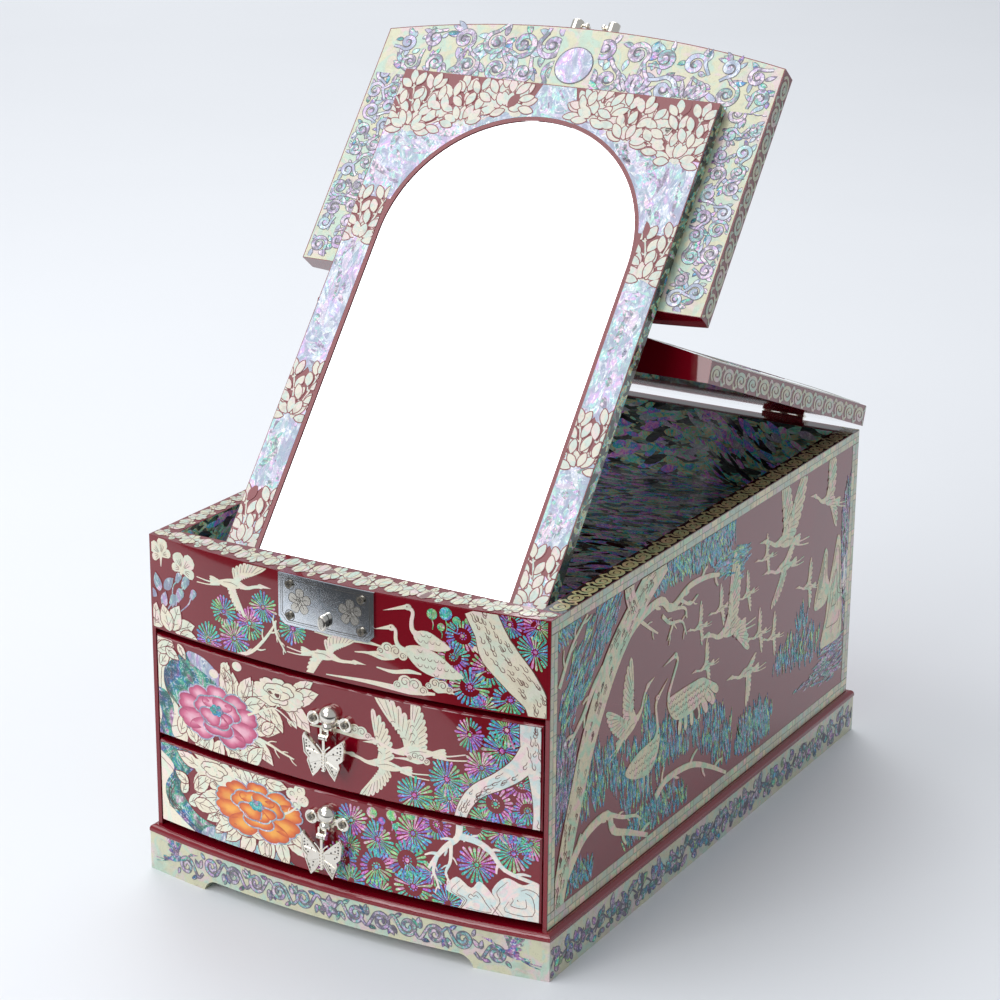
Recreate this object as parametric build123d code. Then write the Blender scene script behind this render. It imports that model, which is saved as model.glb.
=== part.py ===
from build123d import *

import math
import os

# Jewellery box with inlaid lacquered boards: two drawers, an open tray above them, and a lid cut
# across in two leaves. The front leaf carries a mirror panel, folds back on the rear leaf and
# stands its foot on the tray floor. Millimetres, Z up, X to the right as seen from the front.
# The origin is on the floor, under the centre of the whole footprint.

# Overall sizes
BODY_W = 210.0
BODY_D = 321.0
BODY_H = 144.5
FRONT_BOW = 10.0
PLINTH_H = 19.3
PLINTH_STEP = 3.1
PLINTH_T = 9.0
MOULDING_H = 3.3
MOULDING_LIP = 0.3
ORIGIN_BACKSET = 4.8

# Boards of the case
SIDE_T = 10.0
BACK_T = 10.0
FRONT_T = 10.0
FRONT_RAIL_H = 45.1
TRAY_FLOOR_T = 6.5
DIVIDER_T = 5.5
BODY_BOTTOM_T = 2.5
CORNER_LIP = 2.0
EDGE_R = 1.0
MOULDING_R = 2.4

# Arch cut between the feet of the front plinth board
ARCH_HALF_W = 73.0
ARCH_H = 5.6
ARCH_CURVE = 8.5
ARCH_KNEE_IN = 2.1
ARCH_KNEE_UP = 3.5

# Drawers
UPPER_FRONT_H = 49.6
FRONT_GAP_Z = 2.8
DRAWER_SIDE_T = 7.0
DRAWER_BOTTOM_T = 3.0
DRAWER_BOTTOM_RISE = 2.0
DRAWER_BACK_SPACE = 10.0
DRAWER_TOP_SPACE = 2.2
LINING_T = 1.0

# Clearances
SLIDE_CLEAR = 0.3
SIDE_CLEAR = 0.6
SEAT_CLEAR = 0.3
GLASS_CLEAR = 0.15
PIN_CLEAR = 0.05
KNUCKLE_GAP = 0.3
LINING_CLEAR = 0.2
MORTISE_CLEAR = 0.2
EYE_CLEAR = 0.4
CUT_PAST = 1.0

# Lid leaves, as they lie when closed
LID_OVERHANG = 1.9
LID_EDGE_T = 10.6
LID_CROWN = 10.0
LID_GAP = 0.5
LID_BACK_INSET = 0.1
REAR_LEAF_L = 195.0
LID_CUT_GAP = 0.6
LID_EDGE_R = 0.8

# Pose of the lid at rest, in degrees
LID_OPEN = 20.3
LID_FOLD = 108.2

# Mirror panel under the front leaf
MIRROR_HALF_W = 84.7
MIRROR_T = 7.0
MIRROR_RISE = 102.9
MIRROR_ARCH_R = 67.5
MIRROR_ARCH_TOP = 84.5
MIRROR_FOOT_RAIL = 16.5
GLASS_T = 3.0
BEAD_W = 1.0
BEAD_T = 0.6
BEAD_CLEAR = 0.05

# Rear hinges
HINGE_X = 61.5
HINGE_L = 23.4
HINGE_LEAF_T = 1.2
HINGE_LEAF_DROP = 16.0
HINGE_BARREL_R = 2.5
HINGE_PIN_R = 1.0
HINGE_PIN_BACK = 4.8
HINGE_PIN_RISE = 2.8
HINGE_KNUCKLES = 5
HINGE_SCREW_X = 7.0
HINGE_SCREW_DROP = 9.6

# Fold hinges on the crown, across the cut
FOLD_X = 32.0
FOLD_L = 18.0
FOLD_LEAF_W = 11.0
FOLD_LEAF_T = 1.2
FOLD_LEAF_SINK = 2.4
FOLD_BARREL_R = 1.7
FOLD_PIN_R = 0.8
FOLD_KNUCKLES = 3
FOLD_SCREW_X = 5.5
FOLD_SCREW_Y = 6.6

# Screws
SCREW_HEAD_R = 1.8
SCREW_HEAD_H = 0.9
SCREW_SHANK_R = 0.9
SCREW_L = 6.5
SCREW_SLOT_W = 0.5
SCREW_SLOT_L = 2.4
SCREW_SLOT_H = 0.4
SCREW_HOLE_CLEAR = 0.1
SCREW_HOLE_END = 0.5

# Lock plate and turning knob
LOCK_X = -1.6
LOCK_W = 50.0
LOCK_H = 23.6
LOCK_T = 1.1
LOCK_TOP_INSET = 0.1
LOCK_CORNER = 3.3
LOCK_SCREW_X = 18.8
LOCK_SCREW_TOP = 4.4
LOCK_SCREW_LOW = 19.1
KNOB_DROP = 18.2
KNOB_HALF_L = 3.7
KNOB_HALF_W = 2.2
KNOB_T = 3.0
KNOB_EDGE_R = 1.0
KNOB_STEM_R = 1.3
KNOB_STEM_L = 8.0

# Pulls with a hanging butterfly
PULL_RISE = 8.0
UPPER_PULL_X = 0.2
LOWER_PULL_X = -1.6
PULL_EAR_X = 8.4
PULL_EAR_R = 3.3
PULL_EAR_T = 1.6
PULL_BAR_H = 3.2
PULL_BAR_T = 1.3
PULL_DISC_R = 4.2
PULL_DOME_R = 4.7
PULL_DOME_OUT = 1.0
PULL_DOME_RISE = 2.8
PULL_BALL_R = 2.9
PULL_BALL_DROP = 2.2
PULL_BALL_OUT = 2.6
PULL_PIN_DROP = 6.2
PULL_PIN_OUT = 5.6
PULL_PIN_R = 0.6
PULL_PIN_FIT = 0.025
LUG_INNER = 1.3
LUG_T = 1.0
LUG_R = 1.4
EYE_R = 1.5
EYE_HALF_L = 1.1
WING_T = 1.4
BODY_BAR_R = 1.1
NECK_HALF_W = 0.66
BODY_HEAD_DROP = 7.0
BODY_TAIL_DROP = 16.8
WING_OUTLINE = [
    (0.6, -8.0),
    (5.6, -3.2),
    (10.2, 0.7),
    (11.2, -1.4),
    (10.4, -8.6),
    (8.0, -10.8),
    (8.6, -12.6),
    (5.8, -19.6),
    (3.2, -16.8),
    (0.6, -12.8),
]

# Lid handle: a plate, two posts and a drop bail, low on the front edge of the lid
HANDLE_RISE = 6.5
HANDLE_PLATE_HALF_L = 21.0
HANDLE_PLATE_HALF_W = 3.8
HANDLE_PLATE_T = 0.8
HANDLE_SCREW_X = 17.6
POST_X = 9.8
POST_R = 3.0
POST_H = 7.5
POST_EDGE_R = 1.0
BAIL_PIN_OUT = 5.2
BAIL_R = 1.2
BAIL_HALF_W = 4.6
BAIL_DROP = 11.0
BAIL_STUB_R = 0.8
BAIL_STUB_IN = 2.0
BAIL_KNOB_R = 1.32
BAIL_TILT_SPARE = 2.0

# Places that follow from the sizes above
BASE_TOP = PLINTH_H + MOULDING_H
RIM_Z = BASE_TOP + BODY_H
HALF_W = BODY_W / 2
HALF_D = BODY_D / 2
INNER_X = HALF_W - SIDE_T
FRONT_INNER_Y = -HALF_D + FRONT_T
BACK_INNER_Y = HALF_D - BACK_T
BOW_R = (HALF_W**2 + FRONT_BOW**2) / (2 * FRONT_BOW)
BOW_CENTRE_Y = -HALF_D - FRONT_BOW + BOW_R
RAIL_BOTTOM = RIM_Z - FRONT_RAIL_H
TRAY_FLOOR_Z = RAIL_BOTTOM + TRAY_FLOOR_T
UPPER_TOP = RAIL_BOTTOM - FRONT_GAP_Z
UPPER_BOTTOM = UPPER_TOP - UPPER_FRONT_H
LOWER_TOP = UPPER_BOTTOM - FRONT_GAP_Z
LOWER_BOTTOM = BASE_TOP + FRONT_GAP_Z
DIVIDER_TOP = UPPER_BOTTOM - SLIDE_CLEAR
DIVIDER_BOTTOM = DIVIDER_TOP - DIVIDER_T
LID_Z = RIM_Z + LID_GAP
LID_HALF_W = HALF_W + LID_OVERHANG
LID_CREST = LID_Z + LID_EDGE_T + LID_CROWN
LID_BACK_Y = HALF_D - LID_BACK_INSET
CUT_Y = LID_BACK_Y - REAR_LEAF_L
PIVOT_Y = HALF_D + HINGE_PIN_BACK
PIVOT_Z = RIM_Z + HINGE_PIN_RISE


def front_y(x, offset=0.0):
    """Y of the bowed front at x, pushed outwards by offset."""
    return BOW_CENTRE_Y - math.sqrt((BOW_R + offset) ** 2 - x**2)


def block(x0, x1, y0, y1, z0, z1):
    """Board between two corners."""
    middle = Pos((x0 + x1) / 2, (y0 + y1) / 2, (z0 + z1) / 2)
    return middle * Box(x1 - x0, y1 - y0, z1 - z0)


def rod(point, direction, radius, length):
    """Round bar from a point along a direction."""
    plane = Plane(origin=point, z_dir=direction)
    return Solid.make_cylinder(radius, length, plane)


def bowed_board(half_w, offset, y_back, z0, z1):
    """Board with a bowed front and a straight back, the same arc for every width."""
    y_end = front_y(half_w, offset)
    arc = ThreePointArc((-half_w, y_end), (0, front_y(0, offset)), (half_w, y_end))
    rest = Polyline((half_w, y_end), (half_w, y_back), (-half_w, y_back), (-half_w, y_end))
    outline = make_face([arc.edge(), *rest.edges()])
    return extrude(Pos(0, 0, z0) * outline, z1 - z0)


def turned(solid, y, z, degrees):
    """Solid turned about an X axis through y and z."""
    return Pos(0, y, z) * Rot(degrees, 0, 0) * Pos(0, -y, -z) * solid


def on_rear_leaf(solid):
    """From the closed lid to the rear leaf at rest."""
    return turned(solid, PIVOT_Y, PIVOT_Z, -LID_OPEN)


def on_front_leaf(solid):
    """From the closed lid to the front leaf at rest."""
    return on_rear_leaf(turned(solid, CUT_Y, LID_CREST, -LID_FOLD))


def rest_point(y, z):
    """Where a point of the closed front leaf lies at rest."""
    fold = math.radians(-LID_FOLD)
    y1 = CUT_Y + (y - CUT_Y) * math.cos(fold) - (z - LID_CREST) * math.sin(fold)
    z1 = LID_CREST + (y - CUT_Y) * math.sin(fold) + (z - LID_CREST) * math.cos(fold)
    lift = math.radians(-LID_OPEN)
    y2 = PIVOT_Y + (y1 - PIVOT_Y) * math.cos(lift) - (z1 - PIVOT_Z) * math.sin(lift)
    z2 = PIVOT_Z + (y1 - PIVOT_Y) * math.sin(lift) + (z1 - PIVOT_Z) * math.cos(lift)
    return y2, z2


def mirror_foot_length():
    """Length of the mirror panel past the cut, so that its foot stands in the front corner."""
    back_y, back_z = rest_point(CUT_Y, LID_Z)
    face_y, face_z = rest_point(CUT_Y, LID_Z - MIRROR_T)
    lean = math.radians(90 - (LID_OPEN + LID_FOLD - 90))
    to_floor = (back_z - TRAY_FLOOR_Z - SEAT_CLEAR) / math.sin(lean)
    to_front = (face_y - FRONT_INNER_Y - SEAT_CLEAR) / math.cos(lean)
    return min(to_floor, to_front)


MIRROR_FOOT = mirror_foot_length()


def screw(point, direction, length=SCREW_L):
    """Cross-head screw: point is under the head, direction runs into the wood."""
    outward = [-d for d in direction]
    shank = rod(point, direction, SCREW_SHANK_R, length)
    head = rod(point, outward, SCREW_HEAD_R, SCREW_HEAD_H)
    plane = Plane(origin=point, z_dir=outward)
    bar = Box(SCREW_SLOT_L, SCREW_SLOT_W, 2 * SCREW_SLOT_H)
    cross = bar + Rot(0, 0, 90) * bar
    return (shank + head) - plane * Pos(0, 0, SCREW_HEAD_H) * cross


def screw_hole(point, direction, length=SCREW_L):
    """Hole that a screw's shank passes down."""
    start = [p - d * CUT_PAST for p, d in zip(point, direction)]
    depth = length + CUT_PAST + SCREW_HOLE_END
    return rod(start, direction, SCREW_SHANK_R + SCREW_HOLE_CLEAR, depth)


# Plinth


def plinth_front():
    """Bowed front board of the plinth, cut away between its two feet."""
    half_w = HALF_W + PLINTH_STEP
    board = bowed_board(half_w, PLINTH_STEP, -HALF_D - PLINTH_STEP + PLINTH_T, 0, PLINTH_H)
    flat = ARCH_HALF_W - ARCH_CURVE
    knee_x = ARCH_HALF_W - ARCH_KNEE_IN
    knee_z = ARCH_KNEE_UP
    low = Line((-ARCH_HALF_W, 0), (ARCH_HALF_W, 0))
    right = ThreePointArc((ARCH_HALF_W, 0), (knee_x, knee_z), (flat, ARCH_H))
    top = Line((flat, ARCH_H), (-flat, ARCH_H))
    left = ThreePointArc((-flat, ARCH_H), (-knee_x, knee_z), (-ARCH_HALF_W, 0))
    opening = make_face([low.edge(), right.edge(), top.edge(), left.edge()])
    depth = 4 * PLINTH_T
    cut = extrude(Plane.XZ.offset(HALF_D - depth / 2) * opening, depth)
    return board - cut


def plinth_side(side):
    """Side board of the plinth, 1 for the right and -1 for the left."""
    outer = side * (HALF_W + PLINTH_STEP)
    inner = outer - side * PLINTH_T
    y0 = -HALF_D - PLINTH_STEP + PLINTH_T
    y1 = HALF_D + PLINTH_STEP - PLINTH_T
    return block(min(outer, inner), max(outer, inner), y0, y1, 0, PLINTH_H)


def plinth_back():
    """Back board of the plinth."""
    half_w = HALF_W + PLINTH_STEP
    y1 = HALF_D + PLINTH_STEP
    return block(-half_w, half_w, y1 - PLINTH_T, y1, 0, PLINTH_H)


def base_board():
    """Moulded board on the plinth, its upper arris rounded."""
    lip = PLINTH_STEP + MOULDING_LIP
    board = bowed_board(HALF_W + lip, lip, HALF_D + lip, PLINTH_H, BASE_TOP)
    top = board.faces().sort_by(Axis.Z)[-1]
    return fillet(top.edges(), MOULDING_R)


# Case


def body_bottom():
    """Thin floor of the case that the lower drawer slides on."""
    y0 = FRONT_INNER_Y + SLIDE_CLEAR
    top = BASE_TOP + BODY_BOTTOM_T
    return block(-INNER_X, INNER_X, y0, BACK_INNER_Y, BASE_TOP, top)


def case_side(side):
    """Side board with a thin lip that covers the ends of the drawer fronts."""
    x0, x1 = sorted((side * INNER_X, side * HALF_W))
    board = block(x0, x1, FRONT_INNER_Y, HALF_D, BASE_TOP, RIM_Z)
    l0, l1 = sorted((side * (HALF_W - CORNER_LIP), side * HALF_W))
    return board + block(l0, l1, -HALF_D, FRONT_INNER_Y, BASE_TOP, RAIL_BOTTOM)


def back_panel():
    """Back board between the two sides, with the pilot holes of the rear hinges."""
    board = block(-INNER_X, INNER_X, BACK_INNER_Y, HALF_D, BASE_TOP, RIM_Z)
    for point in box_hinge_screw_points():
        board -= screw_hole(point, (0, -1, 0))
    return board


def front_rail():
    """Fixed bowed board across the top of the front, which carries the lock."""
    board = bowed_board(HALF_W, 0, FRONT_INNER_Y, RAIL_BOTTOM, RIM_Z)
    for point in lock_screw_points():
        board -= screw_hole(point, (0, 1, 0))
    stem = (LOCK_X, front_y(LOCK_X) - CUT_PAST, RIM_Z - KNOB_DROP)
    return board - rod(stem, (0, 1, 0), KNOB_STEM_R + PIN_CLEAR, KNOB_STEM_L + CUT_PAST)


def tray_floor():
    """Floor of the open tray."""
    return block(-INNER_X, INNER_X, FRONT_INNER_Y, BACK_INNER_Y, RAIL_BOTTOM, TRAY_FLOOR_Z)


def drawer_divider():
    """Shelf between the two drawers."""
    y0 = FRONT_INNER_Y + SLIDE_CLEAR
    return block(-INNER_X, INNER_X, y0, BACK_INNER_Y, DIVIDER_BOTTOM, DIVIDER_TOP)


# Drawers

DRAWER_HALF_W = INNER_X - SIDE_CLEAR
DRAWER_Y0 = FRONT_INNER_Y - SLIDE_CLEAR
DRAWER_Y1 = BACK_INNER_Y - DRAWER_BACK_SPACE
DRAWER_FRONT_HALF_W = HALF_W - CORNER_LIP - SIDE_CLEAR


def drawer_front(bottom, top, pull_x):
    """Bowed drawer front with rounded arrises and the pull's screw holes."""
    board = bowed_board(DRAWER_FRONT_HALF_W, 0, DRAWER_Y0, bottom, top)
    bow = board.faces().filter_by(GeomType.CYLINDER).sort_by(Axis.Y)[0]
    board = fillet(bow.edges(), EDGE_R)
    for point in pull_screw_points(pull_x, (bottom + top) / 2 + PULL_RISE, front_y(0)):
        board -= screw_hole(point, (0, 1, 0))
    return board


def drawer_side(side, bottom, top):
    """Drawer side board."""
    outer = side * DRAWER_HALF_W
    inner = side * (DRAWER_HALF_W - DRAWER_SIDE_T)
    return block(min(outer, inner), max(outer, inner), DRAWER_Y0, DRAWER_Y1, bottom, top)


def drawer_back(bottom, top):
    """Drawer back board between the sides."""
    half_w = DRAWER_HALF_W - DRAWER_SIDE_T
    return block(-half_w, half_w, DRAWER_Y1 - DRAWER_SIDE_T, DRAWER_Y1, bottom, top)


def drawer_bottom(bottom):
    """Drawer bottom panel between the four boards."""
    half_w = DRAWER_HALF_W - DRAWER_SIDE_T
    z0 = bottom + DRAWER_BOTTOM_RISE
    y1 = DRAWER_Y1 - DRAWER_SIDE_T
    return block(-half_w, half_w, DRAWER_Y0, y1, z0, z0 + DRAWER_BOTTOM_T)


def drawer_lining(bottom):
    """Felt on the drawer bottom."""
    half_w = DRAWER_HALF_W - DRAWER_SIDE_T - LINING_CLEAR
    z0 = bottom + DRAWER_BOTTOM_RISE + DRAWER_BOTTOM_T
    y0 = DRAWER_Y0 + LINING_CLEAR
    y1 = DRAWER_Y1 - DRAWER_SIDE_T - LINING_CLEAR
    return block(-half_w, half_w, y0, y1, z0, z0 + LINING_T)


# Lid leaves, drawn closed


def crowned_board(y0, y1):
    """Board with a flat underside and a top arched from side to side."""
    edge_z = LID_Z + LID_EDGE_T
    low = Polyline(
        (-LID_HALF_W, edge_z), (-LID_HALF_W, LID_Z), (LID_HALF_W, LID_Z), (LID_HALF_W, edge_z)
    )
    crown = ThreePointArc((LID_HALF_W, edge_z), (0, LID_CREST), (-LID_HALF_W, edge_z))
    section = make_face([*low.edges(), crown.edge()])
    return extrude(Plane.XZ.offset(-y1) * section, y1 - y0)


def rounded_top(board):
    """Lid board with the long upper arrises eased."""
    edge_z = LID_Z + LID_EDGE_T
    arrises = [
        e for e in board.edges().filter_by(Axis.Y) if abs(e.center().Z - edge_z) < 0.01
    ]
    return fillet(arrises, LID_EDGE_R)


def fold_mortises():
    """Shallow recesses of the fold hinges, across the cut."""
    y0 = CUT_Y - FOLD_LEAF_W - MORTISE_CLEAR
    y1 = CUT_Y + FOLD_LEAF_W + MORTISE_CLEAR
    z0 = LID_CREST - FOLD_LEAF_SINK
    z1 = LID_CREST + CUT_PAST
    cuts = []
    for side in (-1, 1):
        x0 = side * FOLD_X - FOLD_L / 2 - MORTISE_CLEAR
        x1 = side * FOLD_X + FOLD_L / 2 + MORTISE_CLEAR
        cuts.append(block(x0, x1, y0, y1, z0, z1))
    return cuts


def rear_lid():
    """Rear leaf of the lid."""
    board = rounded_top(crowned_board(CUT_Y + LID_CUT_GAP / 2, LID_BACK_Y))
    for cut in fold_mortises():
        board -= cut
    for point in fold_screw_points(1):
        board -= screw_hole(point, (0, 0, -1))
    for point in lid_hinge_screw_points():
        board -= screw_hole(point, (0, -1, 0))
    return on_rear_leaf(board)


def front_lid():
    """Front leaf of the lid, bowed in front."""
    y0 = front_y(0, LID_OVERHANG) - CUT_PAST
    board = rounded_top(crowned_board(y0, CUT_Y - LID_CUT_GAP / 2))
    board = board & bowed_board(LID_HALF_W, LID_OVERHANG, CUT_Y, LID_Z, LID_CREST + CUT_PAST)
    for cut in fold_mortises():
        board -= cut
    for point in fold_screw_points(-1):
        board -= screw_hole(point, (0, 0, -1))
    for point in handle_screw_points():
        board -= screw_hole(point, (0, 1, 0))
    return on_front_leaf(board)


# Mirror panel, drawn under the closed lid


def arch_face(inset):
    """Arched outline of the mirror, drawn in plan and pulled in by inset."""
    radius = MIRROR_ARCH_R - inset
    spring = CUT_Y - MIRROR_ARCH_TOP + MIRROR_ARCH_R
    foot = CUT_Y + MIRROR_FOOT - MIRROR_FOOT_RAIL - inset
    arch = ThreePointArc((-radius, spring), (0, spring - radius), (radius, spring))
    sides = Polyline((radius, spring), (radius, foot), (-radius, foot), (-radius, spring))
    return make_face([arch.edge(), *sides.edges()])


def mirror_frame():
    """Mirror panel with its arched pocket."""
    z0 = LID_Z - MIRROR_T
    y0 = CUT_Y - MIRROR_RISE
    board = block(-MIRROR_HALF_W, MIRROR_HALF_W, y0, CUT_Y + MIRROR_FOOT, z0, LID_Z)
    depth = GLASS_T + BEAD_T
    pocket = extrude(Pos(0, 0, z0 - CUT_PAST) * arch_face(0), depth + CUT_PAST)
    return on_front_leaf(board - pocket)


def mirror_glass():
    """Mirror plate on the floor of the pocket."""
    z0 = LID_Z - MIRROR_T + BEAD_T
    return on_front_leaf(extrude(Pos(0, 0, z0) * arch_face(GLASS_CLEAR), GLASS_T))


def mirror_bead():
    """Thin bead that holds the mirror in."""
    z0 = LID_Z - MIRROR_T
    outer = extrude(Pos(0, 0, z0) * arch_face(BEAD_CLEAR), BEAD_T)
    inner = extrude(Pos(0, 0, z0 - CUT_PAST) * arch_face(BEAD_W), BEAD_T + 2 * CUT_PAST)
    return on_front_leaf(outer - inner)


# Hinges, drawn closed


def knuckle_spans(centre, length, count, own):
    """Start and end of every other knuckle along a barrel, own is 0 or 1."""
    step = length / count
    start = centre - length / 2
    gap = KNUCKLE_GAP / 2
    return [
        (start + i * step + gap, start + (i + 1) * step - gap)
        for i in range(count)
        if i % 2 == own
    ]


def hinge_screw_z(upper):
    """Height of the screws of a rear hinge's leaf."""
    if upper:
        return (PIVOT_Z + HINGE_BARREL_R + LID_Z + LID_EDGE_T) / 2
    return RIM_Z - HINGE_SCREW_DROP


def box_hinge_screw_points():
    """Screw seats on the case leaves of the rear hinges."""
    y = HALF_D + HINGE_LEAF_T
    z = hinge_screw_z(False)
    return [
        (side * HINGE_X + end * HINGE_SCREW_X, y, z) for side in (-1, 1) for end in (-1, 1)
    ]


def lid_hinge_screw_points():
    """Screw seats on the lid leaves of the rear hinges."""
    y = LID_BACK_Y + HINGE_LEAF_T
    z = hinge_screw_z(True)
    return [
        (side * HINGE_X + end * HINGE_SCREW_X, y, z) for side in (-1, 1) for end in (-1, 1)
    ]


def rear_hinge_box_leaf(side):
    """Leaf on the back of the case, with three knuckles."""
    x = side * HINGE_X
    y0 = HALF_D
    top = PIVOT_Z - HINGE_BARREL_R + HINGE_LEAF_T
    leaf = block(
        x - HINGE_L / 2, x + HINGE_L / 2, y0, y0 + HINGE_LEAF_T, RIM_Z - HINGE_LEAF_DROP, top
    )
    for x0, x1 in knuckle_spans(x, HINGE_L, HINGE_KNUCKLES, 0):
        leaf += block(x0, x1, y0, PIVOT_Y, top - HINGE_LEAF_T, top)
        leaf += rod((x0, PIVOT_Y, PIVOT_Z), (1, 0, 0), HINGE_BARREL_R, x1 - x0)
    leaf -= rear_pin_hole(x)
    for point in box_hinge_screw_points():
        leaf -= screw_hole(point, (0, -1, 0))
    return leaf


def rear_hinge_lid_leaf(side):
    """Leaf on the rear edge of the lid, with two knuckles."""
    x = side * HINGE_X
    y0 = LID_BACK_Y
    low = PIVOT_Z + HINGE_BARREL_R - HINGE_LEAF_T
    leaf = block(
        x - HINGE_L / 2, x + HINGE_L / 2, y0, y0 + HINGE_LEAF_T, low, LID_Z + LID_EDGE_T
    )
    for x0, x1 in knuckle_spans(x, HINGE_L, HINGE_KNUCKLES, 1):
        leaf += block(x0, x1, y0, PIVOT_Y, low, low + HINGE_LEAF_T)
        leaf += rod((x0, PIVOT_Y, PIVOT_Z), (1, 0, 0), HINGE_BARREL_R, x1 - x0)
    leaf -= rear_pin_hole(x)
    for point in lid_hinge_screw_points():
        leaf -= screw_hole(point, (0, -1, 0))
    return on_rear_leaf(leaf)


def rear_pin_hole(x):
    """Bore of a rear hinge's barrel."""
    start = (x - HINGE_L / 2 - CUT_PAST, PIVOT_Y, PIVOT_Z)
    return rod(start, (1, 0, 0), HINGE_PIN_R + PIN_CLEAR, HINGE_L + 2 * CUT_PAST)


def rear_hinge_pins():
    """The pins of both rear hinges."""
    pins = []
    for side in (-1, 1):
        start = (side * HINGE_X - HINGE_L / 2, PIVOT_Y, PIVOT_Z)
        pins.append(rod(start, (1, 0, 0), HINGE_PIN_R, HINGE_L))
    return Compound(pins)


def fold_screw_points(way):
    """Screw seats on the fold hinges, way 1 for the rear leaf and -1 for the front one."""
    z = LID_CREST - FOLD_LEAF_SINK + FOLD_LEAF_T
    y = CUT_Y + way * FOLD_SCREW_Y
    return [(side * FOLD_X + end * FOLD_SCREW_X, y, z) for side in (-1, 1) for end in (-1, 1)]


def fold_hinge_leaf(side, way):
    """Leaf of a fold hinge, let into the crown; the rear leaf has the outer knuckles."""
    x = side * FOLD_X
    z0 = LID_CREST - FOLD_LEAF_SINK
    z1 = z0 + FOLD_LEAF_T
    clear = FOLD_BARREL_R + KNUCKLE_GAP
    ya, yb = sorted((CUT_Y + way * clear, CUT_Y + way * FOLD_LEAF_W))
    leaf = block(x - FOLD_L / 2, x + FOLD_L / 2, ya, yb, z0, z1)
    for x0, x1 in knuckle_spans(x, FOLD_L, FOLD_KNUCKLES, 0 if way > 0 else 1):
        na, nb = sorted((CUT_Y + way * KNUCKLE_GAP, CUT_Y + way * clear))
        leaf += block(x0, x1, na, nb, z0, z1)
        leaf += rod((x0, CUT_Y, LID_CREST), (1, 0, 0), FOLD_BARREL_R, x1 - x0)
    start = (x - FOLD_L / 2 - CUT_PAST, CUT_Y, LID_CREST)
    leaf -= rod(start, (1, 0, 0), FOLD_PIN_R + PIN_CLEAR, FOLD_L + 2 * CUT_PAST)
    for point in fold_screw_points(way):
        leaf -= screw_hole(point, (0, 0, -1))
    return on_rear_leaf(leaf) if way > 0 else on_front_leaf(leaf)


def fold_hinge_pins():
    """The pins of both fold hinges."""
    pins = []
    for side in (-1, 1):
        start = (side * FOLD_X - FOLD_L / 2, CUT_Y, LID_CREST)
        pins.append(rod(start, (1, 0, 0), FOLD_PIN_R, FOLD_L))
    return on_rear_leaf(Compound(pins))


def screw_group(points, direction, length=SCREW_L):
    """Identical screws as one node."""
    return Compound([screw(point, direction, length) for point in points])


# Lock


def lock_screw_points():
    """Screw seats on the face of the lock plate, clear of its bow."""
    places = []
    for x in (LOCK_X - LOCK_SCREW_X, LOCK_X + LOCK_SCREW_X):
        seat_y = front_y(abs(x) - SCREW_HEAD_R, LOCK_T)
        for drop in (LOCK_SCREW_TOP, LOCK_SCREW_LOW):
            places.append((x, seat_y, RIM_Z - drop))
    return places


def lock_plate():
    """Plate with clipped lower corners that follows the bow of the rail."""
    x0 = LOCK_X - LOCK_W / 2
    x1 = LOCK_X + LOCK_W / 2
    z1 = RIM_Z - LOCK_TOP_INSET
    z0 = z1 - LOCK_H
    c = LOCK_CORNER
    corners = [(x0, z1), (x0, z0 + c), (x0 + c, z0), (x1 - c, z0), (x1, z0 + c), (x1, z1), (x0, z1)]
    outline = make_face(Polyline(*corners).edges())
    slab = extrude(Plane.XZ.offset(HALF_D - FRONT_T) * outline, 4 * FRONT_T)
    shell = bowed_board(HALF_W, LOCK_T, FRONT_INNER_Y, z0, z1)
    low, high = z0 - CUT_PAST, z1 + CUT_PAST
    shell -= bowed_board(HALF_W + LOCK_T, 0, FRONT_INNER_Y + CUT_PAST, low, high)
    plate = shell & slab
    for point in lock_screw_points():
        plate -= screw_hole(point, (0, 1, 0))
    stem = (LOCK_X, front_y(LOCK_X, LOCK_T) - CUT_PAST, RIM_Z - KNOB_DROP)
    depth = LOCK_T + 2 * CUT_PAST
    return plate - rod(stem, (0, 1, 0), KNOB_STEM_R + PIN_CLEAR, depth)


def lock_knob():
    """Oval turning knob on its stem."""
    z = RIM_Z - KNOB_DROP
    y = front_y(LOCK_X, LOCK_T) - SEAT_CLEAR
    oval = Plane(origin=(LOCK_X, y, z), z_dir=(0, -1, 0)) * Ellipse(KNOB_HALF_L, KNOB_HALF_W)
    head = extrude(oval, KNOB_T, dir=(0, -1, 0))
    outer = head.edges().sort_by(Axis.Y)[0]
    head = fillet(outer, KNOB_EDGE_R)
    return head + rod((LOCK_X, y - KNOB_EDGE_R, z), (0, 1, 0), KNOB_STEM_R, KNOB_STEM_L)


# Pulls


def pull_screw_points(x, z, y_face):
    """Screw seats on the ears of a pull."""
    return [(x + end * PULL_EAR_X, y_face - PULL_EAR_T, z) for end in (-1, 1)]


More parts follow.
